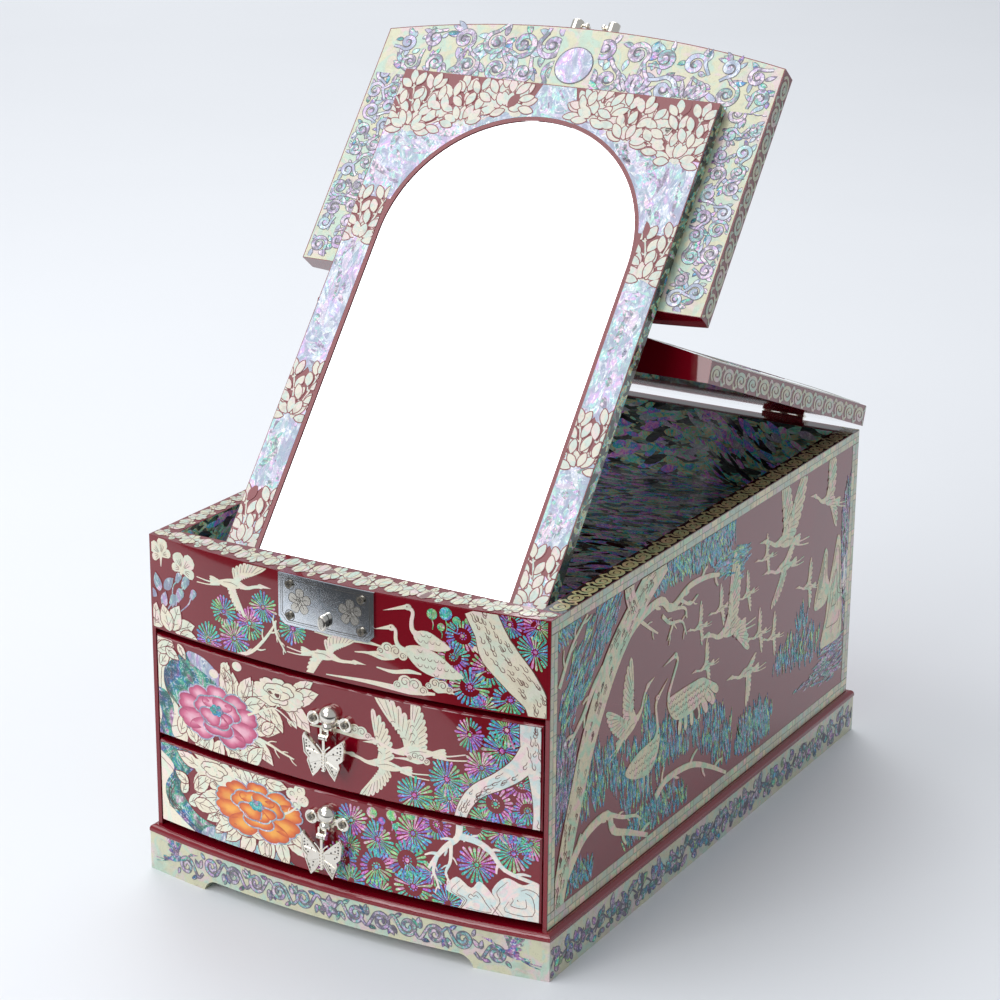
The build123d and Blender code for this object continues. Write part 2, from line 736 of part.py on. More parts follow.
def pull_base(x, z, y_face):
    """Cast pull base: two ears, a domed boss, a small ball and two lugs for the pendant."""
    out = (0, -1, 0)
    base = rod((x, y_face, z), out, PULL_DISC_R, PULL_BAR_T)
    bar = PULL_BAR_H / 2
    base += block(x - PULL_EAR_X, x + PULL_EAR_X, y_face - PULL_BAR_T, y_face, z - bar, z + bar)
    for end in (-1, 1):
        base += rod((x + end * PULL_EAR_X, y_face, z), out, PULL_EAR_R, PULL_EAR_T)
    base += Pos(x, y_face - PULL_DOME_OUT, z + PULL_DOME_RISE) * Sphere(PULL_DOME_R)
    base += Pos(x, y_face - PULL_BALL_OUT, z - PULL_BALL_DROP) * Sphere(PULL_BALL_R)
    pin_z = z - PULL_PIN_DROP
    pin_y = y_face - PULL_PIN_OUT
    for end in (-1, 1):
        x0, x1 = sorted((x + end * LUG_INNER, x + end * (LUG_INNER + LUG_T)))
        base += rod((x0, pin_y, pin_z), (1, 0, 0), LUG_R, LUG_T)
        base += block(x0, x1, pin_y, y_face, pin_z, z - PULL_BALL_DROP)
    half = PULL_EAR_X + PULL_EAR_R
    base -= block(x - half, x + half, y_face, y_face + half, z - half, z + half)
    start = (x - LUG_INNER - LUG_T - CUT_PAST, pin_y, pin_z)
    bore_r = PULL_PIN_R + PULL_PIN_FIT
    base -= rod(start, (1, 0, 0), bore_r, 2 * (LUG_INNER + LUG_T + CUT_PAST))
    reach = EYE_R + EYE_CLEAR
    base -= block(
        x - LUG_INNER, x + LUG_INNER, pin_y - LUG_R - CUT_PAST, pin_y + reach,
        pin_z - LUG_R - CUT_PAST, pin_z + reach,
    )
    for point in pull_screw_points(x, z, y_face):
        base -= screw_hole(point, (0, 1, 0))
    return base


def pull_pin(x, z, y_face):
    """Pin that the butterfly swings on."""
    half = LUG_INNER + LUG_T
    start = (x - half, y_face - PULL_PIN_OUT, z - PULL_PIN_DROP)
    return rod(start, (1, 0, 0), PULL_PIN_R, 2 * half)


def pull_pendant(x, z, y_face):
    """Butterfly that hangs from its eye."""
    pin_y = y_face - PULL_PIN_OUT
    pin_z = z - PULL_PIN_DROP
    middle = Plane(origin=(0, pin_y - WING_T / 2, 0), x_dir=(1, 0, 0), z_dir=(0, -1, 0))
    eye = rod((x - EYE_HALF_L, pin_y, pin_z), (1, 0, 0), EYE_R, 2 * EYE_HALF_L)
    neck = block(
        x - NECK_HALF_W, x + NECK_HALF_W, pin_y - WING_T / 2, pin_y + WING_T / 2,
        pin_z - BODY_HEAD_DROP, pin_z,
    )
    body_start = (x, pin_y, pin_z - BODY_TAIL_DROP + BODY_BAR_R)
    body = rod(body_start, (0, 0, 1), BODY_BAR_R, BODY_TAIL_DROP - BODY_HEAD_DROP)
    pendant = eye + neck + body
    for side in (-1, 1):
        points = [(x + side * px, pin_z + pz) for px, pz in WING_OUTLINE]
        wing = make_face(Polyline(*points, points[0]).edges())
        pendant += extrude(middle * wing, -WING_T)
    half = EYE_HALF_L + CUT_PAST
    return pendant - rod((x - half, pin_y, pin_z), (1, 0, 0), PULL_PIN_R + PIN_CLEAR, 2 * half)


# Lid handle, drawn closed

HANDLE_Y = front_y(POST_X - POST_R, LID_OVERHANG)
HANDLE_Z = LID_Z + HANDLE_RISE
BAIL_PIN_Y = HANDLE_Y - BAIL_PIN_OUT
BAIL_LEAN = (BAIL_PIN_OUT - BAIL_R - SEAT_CLEAR) / BAIL_DROP
BAIL_TILT = math.degrees(math.asin(BAIL_LEAN)) - BAIL_TILT_SPARE


def handle_screw_points():
    """Screw seats on the face of the handle plate, clear of its bow."""
    y = front_y(HANDLE_SCREW_X - SCREW_HEAD_R, LID_OVERHANG + HANDLE_PLATE_T)
    return [(side * HANDLE_SCREW_X, y, HANDLE_Z) for side in (-1, 1)]


def lid_handle_plate():
    """Thin plate with round ends that follows the bow of the lid, holed for posts and screws."""
    bar = Box(2 * (HANDLE_PLATE_HALF_L - HANDLE_PLATE_HALF_W), 2 * FRONT_T, 2 * HANDLE_PLATE_HALF_W)
    slab = Pos(0, HANDLE_Y, HANDLE_Z) * bar
    for side in (-1, 1):
        end_x = side * (HANDLE_PLATE_HALF_L - HANDLE_PLATE_HALF_W)
        start = (end_x, HANDLE_Y - FRONT_T, HANDLE_Z)
        slab += rod(start, (0, 1, 0), HANDLE_PLATE_HALF_W, 2 * FRONT_T)
    z0, z1 = HANDLE_Z - HANDLE_PLATE_HALF_W, HANDLE_Z + HANDLE_PLATE_HALF_W
    shell = bowed_board(LID_HALF_W, LID_OVERHANG + HANDLE_PLATE_T, FRONT_INNER_Y, z0, z1)
    low, high = z0 - CUT_PAST, z1 + CUT_PAST
    shell -= bowed_board(LID_HALF_W + LID_OVERHANG, LID_OVERHANG, FRONT_INNER_Y + CUT_PAST, low, high)
    plate = shell & slab
    for side in (-1, 1):
        start = (side * POST_X, HANDLE_Y - FRONT_T, HANDLE_Z)
        plate -= rod(start, (0, 1, 0), POST_R + PIN_CLEAR, 2 * FRONT_T)
    for point in handle_screw_points():
        plate -= screw_hole(point, (0, 1, 0))
    return on_front_leaf(plate)


def lid_handle_posts():
    """The two posts of the lid handle, with the blind holes of the bail."""
    posts = []
    for side in (-1, 1):
        seat = (side * POST_X, HANDLE_Y, HANDLE_Z)
        post = rod(seat, (0, -1, 0), POST_R, POST_H)
        rim = post.edges().filter_by(GeomType.CIRCLE).sort_by(Axis.Y)[0]
        post = fillet(rim, POST_EDGE_R)
        start = (side * (POST_X - POST_R - CUT_PAST), BAIL_PIN_Y, HANDLE_Z)
        depth = BAIL_STUB_IN + CUT_PAST + 2 * SEAT_CLEAR
        post -= rod(start, (side, 0, 0), BAIL_STUB_R + PIN_CLEAR, depth)
        posts.append(post)
    return on_front_leaf(Compound(posts))


def lid_handle_bail():
    """Drop bail with stub ends, fallen back on the upper half of the standing lid's edge."""
    leg = BAIL_DROP - BAIL_HALF_W
    left = Line((-BAIL_HALF_W, 0), (-BAIL_HALF_W, -leg))
    arc = ThreePointArc((-BAIL_HALF_W, -leg), (0, -BAIL_DROP), (BAIL_HALF_W, -leg))
    right = Line((BAIL_HALF_W, -leg), (BAIL_HALF_W, 0))
    plane = Plane(origin=(0, BAIL_PIN_Y, HANDLE_Z), x_dir=(1, 0, 0), z_dir=(0, -1, 0))
    path = plane * Wire([*left.edges(), *arc.edges(), *right.edges()])
    section = Plane(origin=path @ 0, z_dir=path % 0) * Circle(BAIL_R)
    bail = sweep(section, path)
    for side in (-1, 1):
        bail += Pos(side * BAIL_HALF_W, BAIL_PIN_Y, HANDLE_Z) * Sphere(BAIL_KNOB_R)
        start = (side * BAIL_HALF_W, BAIL_PIN_Y, HANDLE_Z)
        length = POST_X - POST_R - BAIL_HALF_W + BAIL_STUB_IN
        bail += rod(start, (side, 0, 0), BAIL_STUB_R, length)
    return on_front_leaf(turned(bail, BAIL_PIN_Y, HANDLE_Z, -180 - BAIL_TILT))


def drawer_nodes(name, bottom, top, side_top, pull_x):
    """All the nodes of one drawer and its pull."""
    z = (bottom + top) / 2 + PULL_RISE
    y = front_y(0)
    return {
        f"{name}_drawer_front": drawer_front(bottom, top, pull_x),
        f"{name}_drawer_left": drawer_side(-1, bottom, side_top),
        f"{name}_drawer_right": drawer_side(1, bottom, side_top),
        f"{name}_drawer_back": drawer_back(bottom, side_top),
        f"{name}_drawer_bottom": drawer_bottom(bottom),
        f"{name}_drawer_lining": drawer_lining(bottom),
        f"{name}_pull_base": pull_base(pull_x, z, y),
        f"{name}_pull_pin": pull_pin(pull_x, z, y),
        f"{name}_pull_pendant": pull_pendant(pull_x, z, y),
        f"{name}_pull_screws": screw_group(pull_screw_points(pull_x, z, y), (0, 1, 0)),
    }


def all_nodes():
    """Every node by name."""
    nodes = {
        "plinth_front": plinth_front(),
        "plinth_left": plinth_side(-1),
        "plinth_right": plinth_side(1),
        "plinth_back": plinth_back(),
        "base_board": base_board(),
        "body_bottom": body_bottom(),
        "side_left": case_side(-1),
        "side_right": case_side(1),
        "back_panel": back_panel(),
        "front_rail": front_rail(),
        "tray_floor": tray_floor(),
        "drawer_divider": drawer_divider(),
        "rear_lid": rear_lid(),
        "front_lid": front_lid(),
        "mirror_frame": mirror_frame(),
        "mirror_glass": mirror_glass(),
        "mirror_bead": mirror_bead(),
        "rear_hinge_pins": rear_hinge_pins(),
        "rear_hinge_box_screws": screw_group(box_hinge_screw_points(), (0, -1, 0)),
        "rear_hinge_lid_screws": on_rear_leaf(screw_group(lid_hinge_screw_points(), (0, -1, 0))),
        "fold_hinge_pins": fold_hinge_pins(),
        "fold_hinge_rear_screws": on_rear_leaf(screw_group(fold_screw_points(1), (0, 0, -1))),
        "fold_hinge_front_screws": on_front_leaf(screw_group(fold_screw_points(-1), (0, 0, -1))),
        "lock_plate": lock_plate(),
        "lock_knob": lock_knob(),
        "lock_screws": screw_group(lock_screw_points(), (0, 1, 0)),
        "lid_handle_plate": lid_handle_plate(),
        "lid_handle_screws": on_front_leaf(screw_group(handle_screw_points(), (0, 1, 0))),
        "lid_handle_posts": lid_handle_posts(),
        "lid_handle_bail": lid_handle_bail(),
    }
    for side, word in ((-1, "left"), (1, "right")):
        nodes[f"rear_hinge_{word}_box_leaf"] = rear_hinge_box_leaf(side)
        nodes[f"rear_hinge_{word}_lid_leaf"] = rear_hinge_lid_leaf(side)
        nodes[f"fold_hinge_{word}_rear_leaf"] = fold_hinge_leaf(side, 1)
        nodes[f"fold_hinge_{word}_front_leaf"] = fold_hinge_leaf(side, -1)
    upper_side_top = UPPER_TOP - DRAWER_TOP_SPACE
    lower_side_top = DIVIDER_BOTTOM - DRAWER_TOP_SPACE
    nodes.update(drawer_nodes("upper", UPPER_BOTTOM, UPPER_TOP, upper_side_top, UPPER_PULL_X))
    nodes.update(drawer_nodes("lower", LOWER_BOTTOM, LOWER_TOP, lower_side_top, LOWER_PULL_X))
    return nodes


os.makedirs("parts", exist_ok=True)
for node, shape in all_nodes().items():
    export_step(Pos(0, ORIGIN_BACKSET, 0) * shape, f"parts/{node}.step")
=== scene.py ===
"""Looks of a lacquered jewellery box inlaid with shell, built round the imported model."""

import logging
import math
import random
from collections import Counter
from collections.abc import Callable, Sequence
from dataclasses import dataclass, field
from enum import Enum

import bpy
import numpy as np
from mathutils import Matrix, Vector
from mathutils.geometry import delaunay_2d_cdt, tessellate_polygon


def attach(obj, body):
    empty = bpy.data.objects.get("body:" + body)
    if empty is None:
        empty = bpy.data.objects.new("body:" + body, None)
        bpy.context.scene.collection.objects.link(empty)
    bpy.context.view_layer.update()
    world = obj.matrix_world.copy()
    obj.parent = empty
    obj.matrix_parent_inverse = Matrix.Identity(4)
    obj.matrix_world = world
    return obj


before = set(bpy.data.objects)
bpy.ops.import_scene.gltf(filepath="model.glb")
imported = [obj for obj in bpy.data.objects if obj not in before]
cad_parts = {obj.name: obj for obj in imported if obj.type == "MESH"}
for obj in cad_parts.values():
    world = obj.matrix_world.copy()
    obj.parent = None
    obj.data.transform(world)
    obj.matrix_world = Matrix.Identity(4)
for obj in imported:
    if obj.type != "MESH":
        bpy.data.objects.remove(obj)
LOG = logging.getLogger("jewellery_box")

Point = tuple[float, float]
Outline = list[Point]
Array = np.ndarray
Colour = tuple[float, float, float]

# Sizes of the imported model, in millimetres, measured from the middle of the case
MM = 0.001
SETBACK = 4.8
HALF_W = 105.0
HALF_D = 160.5
BOW_R = 556.25
BOW_Y = 385.75
PLINTH_STEP = 3.1
PLINTH_H = 19.3
RIM_Z = 167.1
TRAY_FLOOR_Z = 128.5
WALL = 10.0
LID_Z = 167.6
LID_EDGE_T = 10.6
LID_CROWN = 10.0
LID_CREST = 188.2
LID_HALF_W = 106.9
LID_LIP = 1.9
CUT_Y = -34.6
LID_BACK_Y = 160.4
PIVOT = (165.3, 169.9)
LID_OPEN = 20.3
LID_FOLD = 108.2
MIRROR_T = 7.0
MIRROR_HALF_W = 84.7
MIRROR_RISE = 102.9
MIRROR_OPENING_R = 67.5
MIRROR_SPRING = 17.0
MIRROR_FOOT = 179.5
LOCK_X = -1.6
LOCK_HALF_W = 25.0
LOCK_TOP = 167.0
LOCK_LOW = 143.4
LOCK_T = 1.1
LOCK_CORNER = 3.3
LOCK_SCREWS = ((-20.4, 162.7), (17.2, 162.7), (-20.4, 148.0), (17.2, 148.0))
SCREW_R = 1.8
SCREW_H = 0.9
PULLS = (("upper", 0.2, 102.4), ("lower", -1.6, 54.1))
PULL_EAR_X = 8.4
PULL_EAR_T = 1.6
PULL_PIN_DROP = 6.2
PULL_PIN_OUT = 5.6
WING_T = 1.4
WING = (
    (0.6, -8.0), (5.6, -3.2), (10.2, 0.7), (11.2, -1.4), (10.4, -8.6), (8.0, -10.8), (8.6, -12.6),
    (5.8, -19.6), (3.2, -16.8), (0.6, -12.8),
)
CROWN_R = (LID_HALF_W**2 + LID_CROWN**2) / (2 * LID_CROWN)

# Heights of inlaid pieces over their face, in millimetres; neighbours differ by APART so that
# no two tops that overlap lie in one plane. Then the angle over which an edge stays sharp, and
# the v at which the strip behind the bowed front ends
SUNK = -0.06
PIECE_TOP = 0.10
LEVEL_STEP = 0.03
APART = 0.0008
APART_STEPS = 37
SHARP_DEGREES = 20.0
FRONT_TOP_SPAN = 10.0


# Shader graphs


class Sock:
    """One value in a shader graph; arithmetic on it adds Math nodes."""

    def __init__(self, graph: "Graph", socket: bpy.types.NodeSocket) -> None:
        """Keeps the graph and the socket."""
        self.graph = graph
        self.socket = socket

    def __add__(self, other: "Sock | float") -> "Sock":
        """Sum."""
        return self.graph.math("ADD", self, other)

    __radd__ = __add__

    def __sub__(self, other: "Sock | float") -> "Sock":
        """Difference."""
        return self.graph.math("SUBTRACT", self, other)

    def __rsub__(self, other: float) -> "Sock":
        """Difference from a number."""
        return self.graph.math("SUBTRACT", other, self)

    def __mul__(self, other: "Sock | float") -> "Sock":
        """Product."""
        return self.graph.math("MULTIPLY", self, other)

    __rmul__ = __mul__


class Graph:
    """A material's node tree with one glossy shader."""

    def __init__(self, name: str) -> None:
        """Starts an empty material.

        Args:
            name: Name of the material.
        """
        self.material = bpy.data.materials.new(name)
        self.material.use_nodes = True
        self.tree = self.material.node_tree
        self.shader = self.tree.nodes["Principled BSDF"]

    def node(
        self,
        kind: str,
        settings: dict[str, object] | None = None,
        sockets: dict[str | int, object] | None = None,
        out: str | int = 0,
    ) -> Sock:
        """Adds any node.

        Args:
            kind: Node type without its ShaderNode prefix.
            settings: Attributes that are set first; stops sets a colour ramp.
            sockets: Values or links of the inputs.
            out: Output to return.

        Returns:
            The chosen output.
        """
        made = self.tree.nodes.new("ShaderNode" + kind)
        for name, value in (settings or {}).items():
            if name == "stops":
                self._set_stops(made.color_ramp, value)
            else:
                setattr(made, name, value)
        for key, value in (sockets or {}).items():
            self._feed(made.inputs[key], value)
        return Sock(self, made.outputs[out])

    @staticmethod
    def _set_stops(ramp: bpy.types.ColorRamp, stops: Sequence[tuple[float, Colour]]) -> None:
        """Writes a ramp's stops.

        Args:
            ramp: The ramp.
            stops: Place and colour of each stop, in order.
        """
        while len(ramp.elements) < len(stops):
            ramp.elements.new(1.0)
        for element, (place, colour) in zip(ramp.elements, stops):
            element.position = place
            element.color = (*colour, 1.0)

    def _feed(self, socket: bpy.types.NodeSocket, value: object) -> None:
        """Links or sets one input.

        Args:
            socket: The input.
            value: A Sock, a number or a tuple.
        """
        if isinstance(value, Sock):
            self.tree.links.new(value.socket, socket)
        elif isinstance(value, tuple) and socket.type == "RGBA":
            socket.default_value = (*value, 1.0)
        else:
            socket.default_value = value

    def math(self, operation: str, a: "Sock | float", b: "Sock | float") -> Sock:
        """Adds a Math node."""
        return self.node("Math", {"operation": operation}, {0: a, 1: b})

    def coords(self) -> Sock:
        """Place on the piece, in metres."""
        return self.node("TexCoord", out="Object")

    def attribute(self, name: str) -> Sock:
        """A number stored on the mesh."""
        return self.node("Attribute", {"attribute_name": name}, out="Fac")

    def shift(self, vector: Sock, by: Sock, reach: float) -> Sock:
        """Place moved by a number from 0 to 1, where 1 moves it by reach in metres."""
        return self.node("VectorMath", {"operation": "ADD"}, {0: vector, 1: by * reach})

    def stretch(self, vector: Sock, scale: tuple[float, float, float]) -> Sock:
        """Place scaled along each axis."""
        return self.node("Mapping", {}, {"Vector": vector, "Scale": scale})

    def noise(self, vector: Sock, scale: float, detail: float = 3.0, warp: float = 0.0) -> Sock:
        """Cloudy noise from 0 to 1."""
        sockets = {"Vector": vector, "Scale": scale, "Detail": detail, "Distortion": warp}
        return self.node("TexNoise", {}, sockets)

    def cells(self, vector: Sock, scale: float) -> Sock:
        """A colour of its own for each Voronoi cell."""
        return self.node("TexVoronoi", {}, {"Vector": vector, "Scale": scale}, "Color")

    def ramp(self, value: Sock, *stops: tuple[float, Colour]) -> Sock:
        """Colour from a number."""
        return self.node("ValToRGB", {"stops": stops}, {0: value})

    def mix(self, a: "Sock | Colour", b: "Sock | Colour", share: "Sock | float") -> Sock:
        """Colour between two, share of 1 gives b."""
        return self.node("Mix", {"data_type": "RGBA"}, {0: share, 6: a, 7: b}, 2)

    def clamp(self, value: Sock, low: float, high: float) -> Sock:
        """Number stretched from low..high to 0..1 and held there."""
        return self.node("MapRange", {"clamp": True}, {0: value, 1: low, 2: high})

    def bump(self, height: Sock, strength: float, depth: float) -> Sock:
        """Normal from a height, depth in metres."""
        return self.node("Bump", {}, {"Strength": strength, "Distance": depth, "Height": height})

    def set(self, **sockets: object) -> None:
        """Feeds the shader; underscores in names stand for spaces."""
        for name, value in sockets.items():
            self._feed(self.shader.inputs[name.replace("_", " ")], value)


# Finishes


@dataclass(frozen=True)
class Finish:
    """A finish with the record's slot it belongs to."""

    name: str
    slot: str

    def paint(self, g: Graph) -> None:
        """Builds the nodes; each finish has its own."""
        raise NotImplementedError

    def material(self) -> bpy.types.Material:
        """The finish's material, made once.

        Returns:
            The material.
        """
        found = bpy.data.materials.get(self.name)
        if found is None:
            graph = Graph(self.name)
            self.paint(graph)
            found = graph.material
        return found


@dataclass(frozen=True)
class Lacquer(Finish):
    """Deep clear lacquer over colour."""

    deep: Colour
    light: Colour
    gloss: float = 0.06

    def paint(self, g: Graph) -> None:
        """Slightly uneven depth and a faint polish ripple.

        Args:
            g: The graph of the material.
        """
        place = g.coords()
        depth = g.noise(place, 14.0, 4.0, 0.6)
        ripple = g.noise(place, 90.0, 2.0)
        dust = g.noise(place, 900.0, 2.0)
        g.set(
            Base_Color=g.mix(self.deep, self.light, g.clamp(depth, 0.3, 0.72)),
            Roughness=dust * 0.06 + self.gloss,
            IOR=1.35,
            Coat_Weight=1.0,
            Coat_Roughness=0.03,
            Coat_IOR=1.46,
            Normal=g.bump(ripple, 0.06, 0.0004),
        )


@dataclass(frozen=True)
class Nacre(Finish):
    """Pale mother-of-pearl: cloudy, streaked, with a pink and a green cast."""

    base: Colour
    warm: Colour
    cool: Colour
    dark: Colour
    metal: float = 0.1
    scale: float = 1.0
    streak: float = 0.3

    def paint(self, g: Graph) -> None:
        """Cloud, growth lines and a shift of cast from piece to piece.

        Args:
            g: The graph of the material.
        """
        tint = g.attribute("tint")
        place = g.shift(g.coords(), tint, 0.7)
        cloud = g.noise(place, 110.0 * self.scale, 4.0, 1.2)
        cast = g.noise(place, 60.0 * self.scale, 3.0, 1.4)
        other = g.noise(g.shift(place, tint, 0.4), 75.0 * self.scale, 3.0, 1.4)
        lines = g.noise(place, 420.0 * self.scale, 3.0, 2.4)
        colour = g.mix(self.base, self.warm, g.clamp(cast, 0.5, 0.62))
        colour = g.mix(colour, self.cool, g.clamp(other, 0.48, 0.6))
        colour = g.mix(colour, self.dark, g.clamp(cloud, 0.52, 0.72) * self.streak)
        colour = g.mix(colour, self.dark, g.clamp(lines, 0.55, 0.7) * self.streak)
        g.set(
            Base_Color=colour,
            Metallic=cloud * self.metal,
            Roughness=lines * 0.2 + 0.2,
            Coat_Weight=0.5,
            Coat_Roughness=0.05,
            Normal=g.bump(lines, 0.12, 0.0003),
        )


@dataclass(frozen=True)
class Abalone(Finish):
    """Iridescent shell whose colour runs through its hues in streaks."""

    hues: tuple[Colour, ...]
    dark: Colour
    shadow: float = 0.5
    turns: float = 2.2
    scale: float = 1.0
    chips: float = 0.0
    metal: float = 0.35
    # pale and haze: colour and share of the pale mix, partly the shell's own pale streaks, partly painted
    # glints and reflection haze
    pale: Colour = (0.88, 0.90, 0.88)
    haze: float = 0.0
    draw_out: tuple[float, float, float] = (1.0, 1.0, 1.0)
    relief: tuple[float, float] = (0.1, 0.0005)

    def paint(self, g: Graph) -> None:
        """Hue from warped noise and the piece's tint, with dark and pale streaks; the pale streaks are
        partly the shell's own and partly painted glints and reflection haze.

        Args:
            g: The graph of the material.
        """
        tint = g.attribute("tint")
        place = g.shift(g.stretch(g.coords(), self.draw_out), tint, 1.3)
        if self.chips:
            bent = g.shift(place, g.noise(place, 60.0, 2.0), 0.02)
            shard = g.node("SeparateColor", {}, {0: g.cells(bent, self.chips)})
            place = g.shift(place, shard, 0.4)
        flow = g.noise(place, 75.0 * self.scale, 4.0, 2.6)
        fine = g.noise(place, 330.0 * self.scale, 3.0, 3.0)
        hue = g.math("FRACT", flow * self.turns + fine * 0.35 + tint * 1.7, 0.0)
        count = len(self.hues)
        stops = [(i / count, colour) for i, colour in enumerate(self.hues)]
        colour = g.ramp(hue, *stops, (1.0, self.hues[0]))
        # Pale mix from fine noise: partly the shell's own pale streaks, partly painted glints and reflection
        # haze
        colour = g.mix(colour, self.pale, g.clamp(fine, 0.52, 0.66) * self.haze)
        depth = g.noise(place, 150.0 * self.scale, 3.0, 1.5)
        colour = g.mix(colour, self.dark, g.clamp(depth, 0.42, 0.6) * self.shadow)
        if self.chips:
            colour = g.mix(colour, self.dark, g.clamp(shard, 0.42, 0.6) * 0.92)
        g.set(
            Base_Color=colour,
            Metallic=self.metal,
            Roughness=fine * 0.25 + 0.14,
            Coat_Weight=0.6,
            Coat_Roughness=0.03,
            Normal=g.bump(flow, *self.relief),
        )


@dataclass(frozen=True)
class Petal(Finish):
    """Painted shell petal, deep at its rim and pale in the middle."""

    rim: Colour
    middle: Colour
    heart: Colour

    def paint(self, g: Graph) -> None:
        """Brushed colour from the shade stored on each petal.

        Args:
            g: The graph of the material.
        """
        place = g.shift(g.coords(), g.attribute("tint"), 0.5)
        brush = g.noise(place, 260.0, 3.0, 1.0)
        cloud = g.noise(place, 120.0, 2.0)
        inward = g.attribute("shade") + brush * 0.36 - 0.18 + g.attribute("tint") * 0.16
        colour = g.ramp(inward, (0.0, self.rim), (0.42, self.middle), (0.9, self.heart))
        g.set(
            Base_Color=g.mix(colour, self.rim, g.clamp(cloud, 0.5, 0.7) * 0.3),
            Roughness=brush * 0.2 + 0.22,
            Coat_Weight=0.7,
            Coat_Roughness=0.05,
            Normal=g.bump(brush, 0.1, 0.0003),
        )


@dataclass(frozen=True)
class Cut(Finish):
    """Engraved line filled with dark lacquer."""

    colour: Colour
    light: Colour

    def paint(self, g: Graph) -> None:
        """Filled line, a little uneven.

        Args:
            g: The graph of the material.
        """
        wear = g.noise(g.coords(), 500.0, 2.0)
        g.set(
            Base_Color=g.mix(self.colour, self.light, g.clamp(wear, 0.5, 0.75) * 0.6),
            Roughness=wear * 0.2 + 0.3,
        )


@dataclass(frozen=True)
class Metal(Finish):
    """Plated or polished metal."""

    colour: Colour
    tarnish_and_reflection: Colour
    rough: float = 0.1

    def paint(self, g: Graph) -> None:
        """Polished metal with faint tarnish and rub marks.

        Args:
            Polished metal with faint tarnish and rub marks; on the lock plate the bluer patches and
            blue-grey tint are painted reflection.
        """
        place = g.coords()
        stain_and_reflection = g.noise(place, 160.0, 4.0, 0.5)
        rub = g.noise(place, 1500.0, 2.0, 4.0)
        g.set(
            Base_Color=g.mix(self.colour, self.tarnish_and_reflection, g.clamp(stain_and_reflection, 0.5, 0.75) * 0.5),
            Metallic=1.0,
            Roughness=rub * 0.1 + self.rough,
            Normal=g.bump(rub, 0.05, 0.0002),
        )


@dataclass(frozen=True)
class Mirror(Finish):
    """Silvered glass."""

    def paint(self, g: Graph) -> None:
        """Near-perfect reflection with the faintest haze.

        Args:
            g: The graph of the material.
        """
        haze = g.noise(g.coords(), 60.0, 3.0)
        g.set(
            Base_Color=g.mix((0.96, 0.97, 0.97), (0.93, 0.94, 0.95), haze),
            Metallic=1.0,
            Roughness=haze * 0.01,
        )


@dataclass(frozen=True)
class Cloth(Finish):
    """Felt or matt board."""

    colour: Colour
    light: Colour
    fibre: float = 1800.0

    def paint(self, g: Graph) -> None:
        """Short fibres and a slight nap.

        Args:
            g: The graph of the material.
        """
        place = g.coords()
        fibre = g.noise(place, self.fibre, 4.0, 2.0)
        nap = g.noise(place, 40.0, 2.0)
        g.set(
            Base_Color=g.mix(self.colour, self.light, fibre * 0.6 + nap * 0.3),
            Roughness=fibre * 0.1 + 0.85,
            Sheen_Weight=0.3,
            Normal=g.bump(fibre, 0.5, 0.0004),
        )


IRIS = (
    (0.03, 0.56, 0.24),
    (0.04, 0.62, 0.56),
    (0.08, 0.28, 0.80),
    (0.40, 0.10, 0.68),
    (0.82, 0.14, 0.56),
    (0.92, 0.44, 0.70),
    (0.34, 0.74, 0.20),
)
LILAC = (
    (0.34, 0.40, 0.56),
    (0.50, 0.32, 0.60),
    (0.64, 0.44, 0.60),
    (0.24, 0.50, 0.56),
    (0.36, 0.60, 0.50),
    (0.22, 0.28, 0.44),
    (0.56, 0.60, 0.64),
)
MIST = (
    (0.44, 0.49, 0.60),
    (0.55, 0.44, 0.62),
    (0.66, 0.54, 0.62),
    (0.40, 0.58, 0.60),
    (0.62, 0.64, 0.66),
)
DEEP_SEA = (
    (0.02, 0.30, 0.26),
    (0.02, 0.20, 0.42),
    (0.14, 0.12, 0.40),
    (0.42, 0.16, 0.42),
    (0.60, 0.36, 0.50),
    (0.10, 0.46, 0.26),
)
FERN = (
    (0.02, 0.52, 0.38),
    (0.03, 0.32, 0.74),
    (0.12, 0.68, 0.38),
    (0.60, 0.84, 0.22),
    (0.10, 0.16, 0.62),
    (0.03, 0.60, 0.64),
    (0.56, 0.26, 0.54),
)
CHIPS = (
    (0.05, 0.86, 0.56),
    (0.06, 0.46, 0.97),
    (0.50, 0.22, 0.97),
    (0.97, 0.26, 0.84),
    (0.97, 0.72, 0.86),
    (0.18, 0.90, 0.64),
    (0.92, 0.66, 0.26),
)
PLUME = (
    (0.34, 0.24, 0.46),
    (0.56, 0.32, 0.58),
    (0.16, 0.42, 0.48),
    (0.16, 0.46, 0.30),
    (0.68, 0.40, 0.58),
    (0.60, 0.58, 0.62),
)


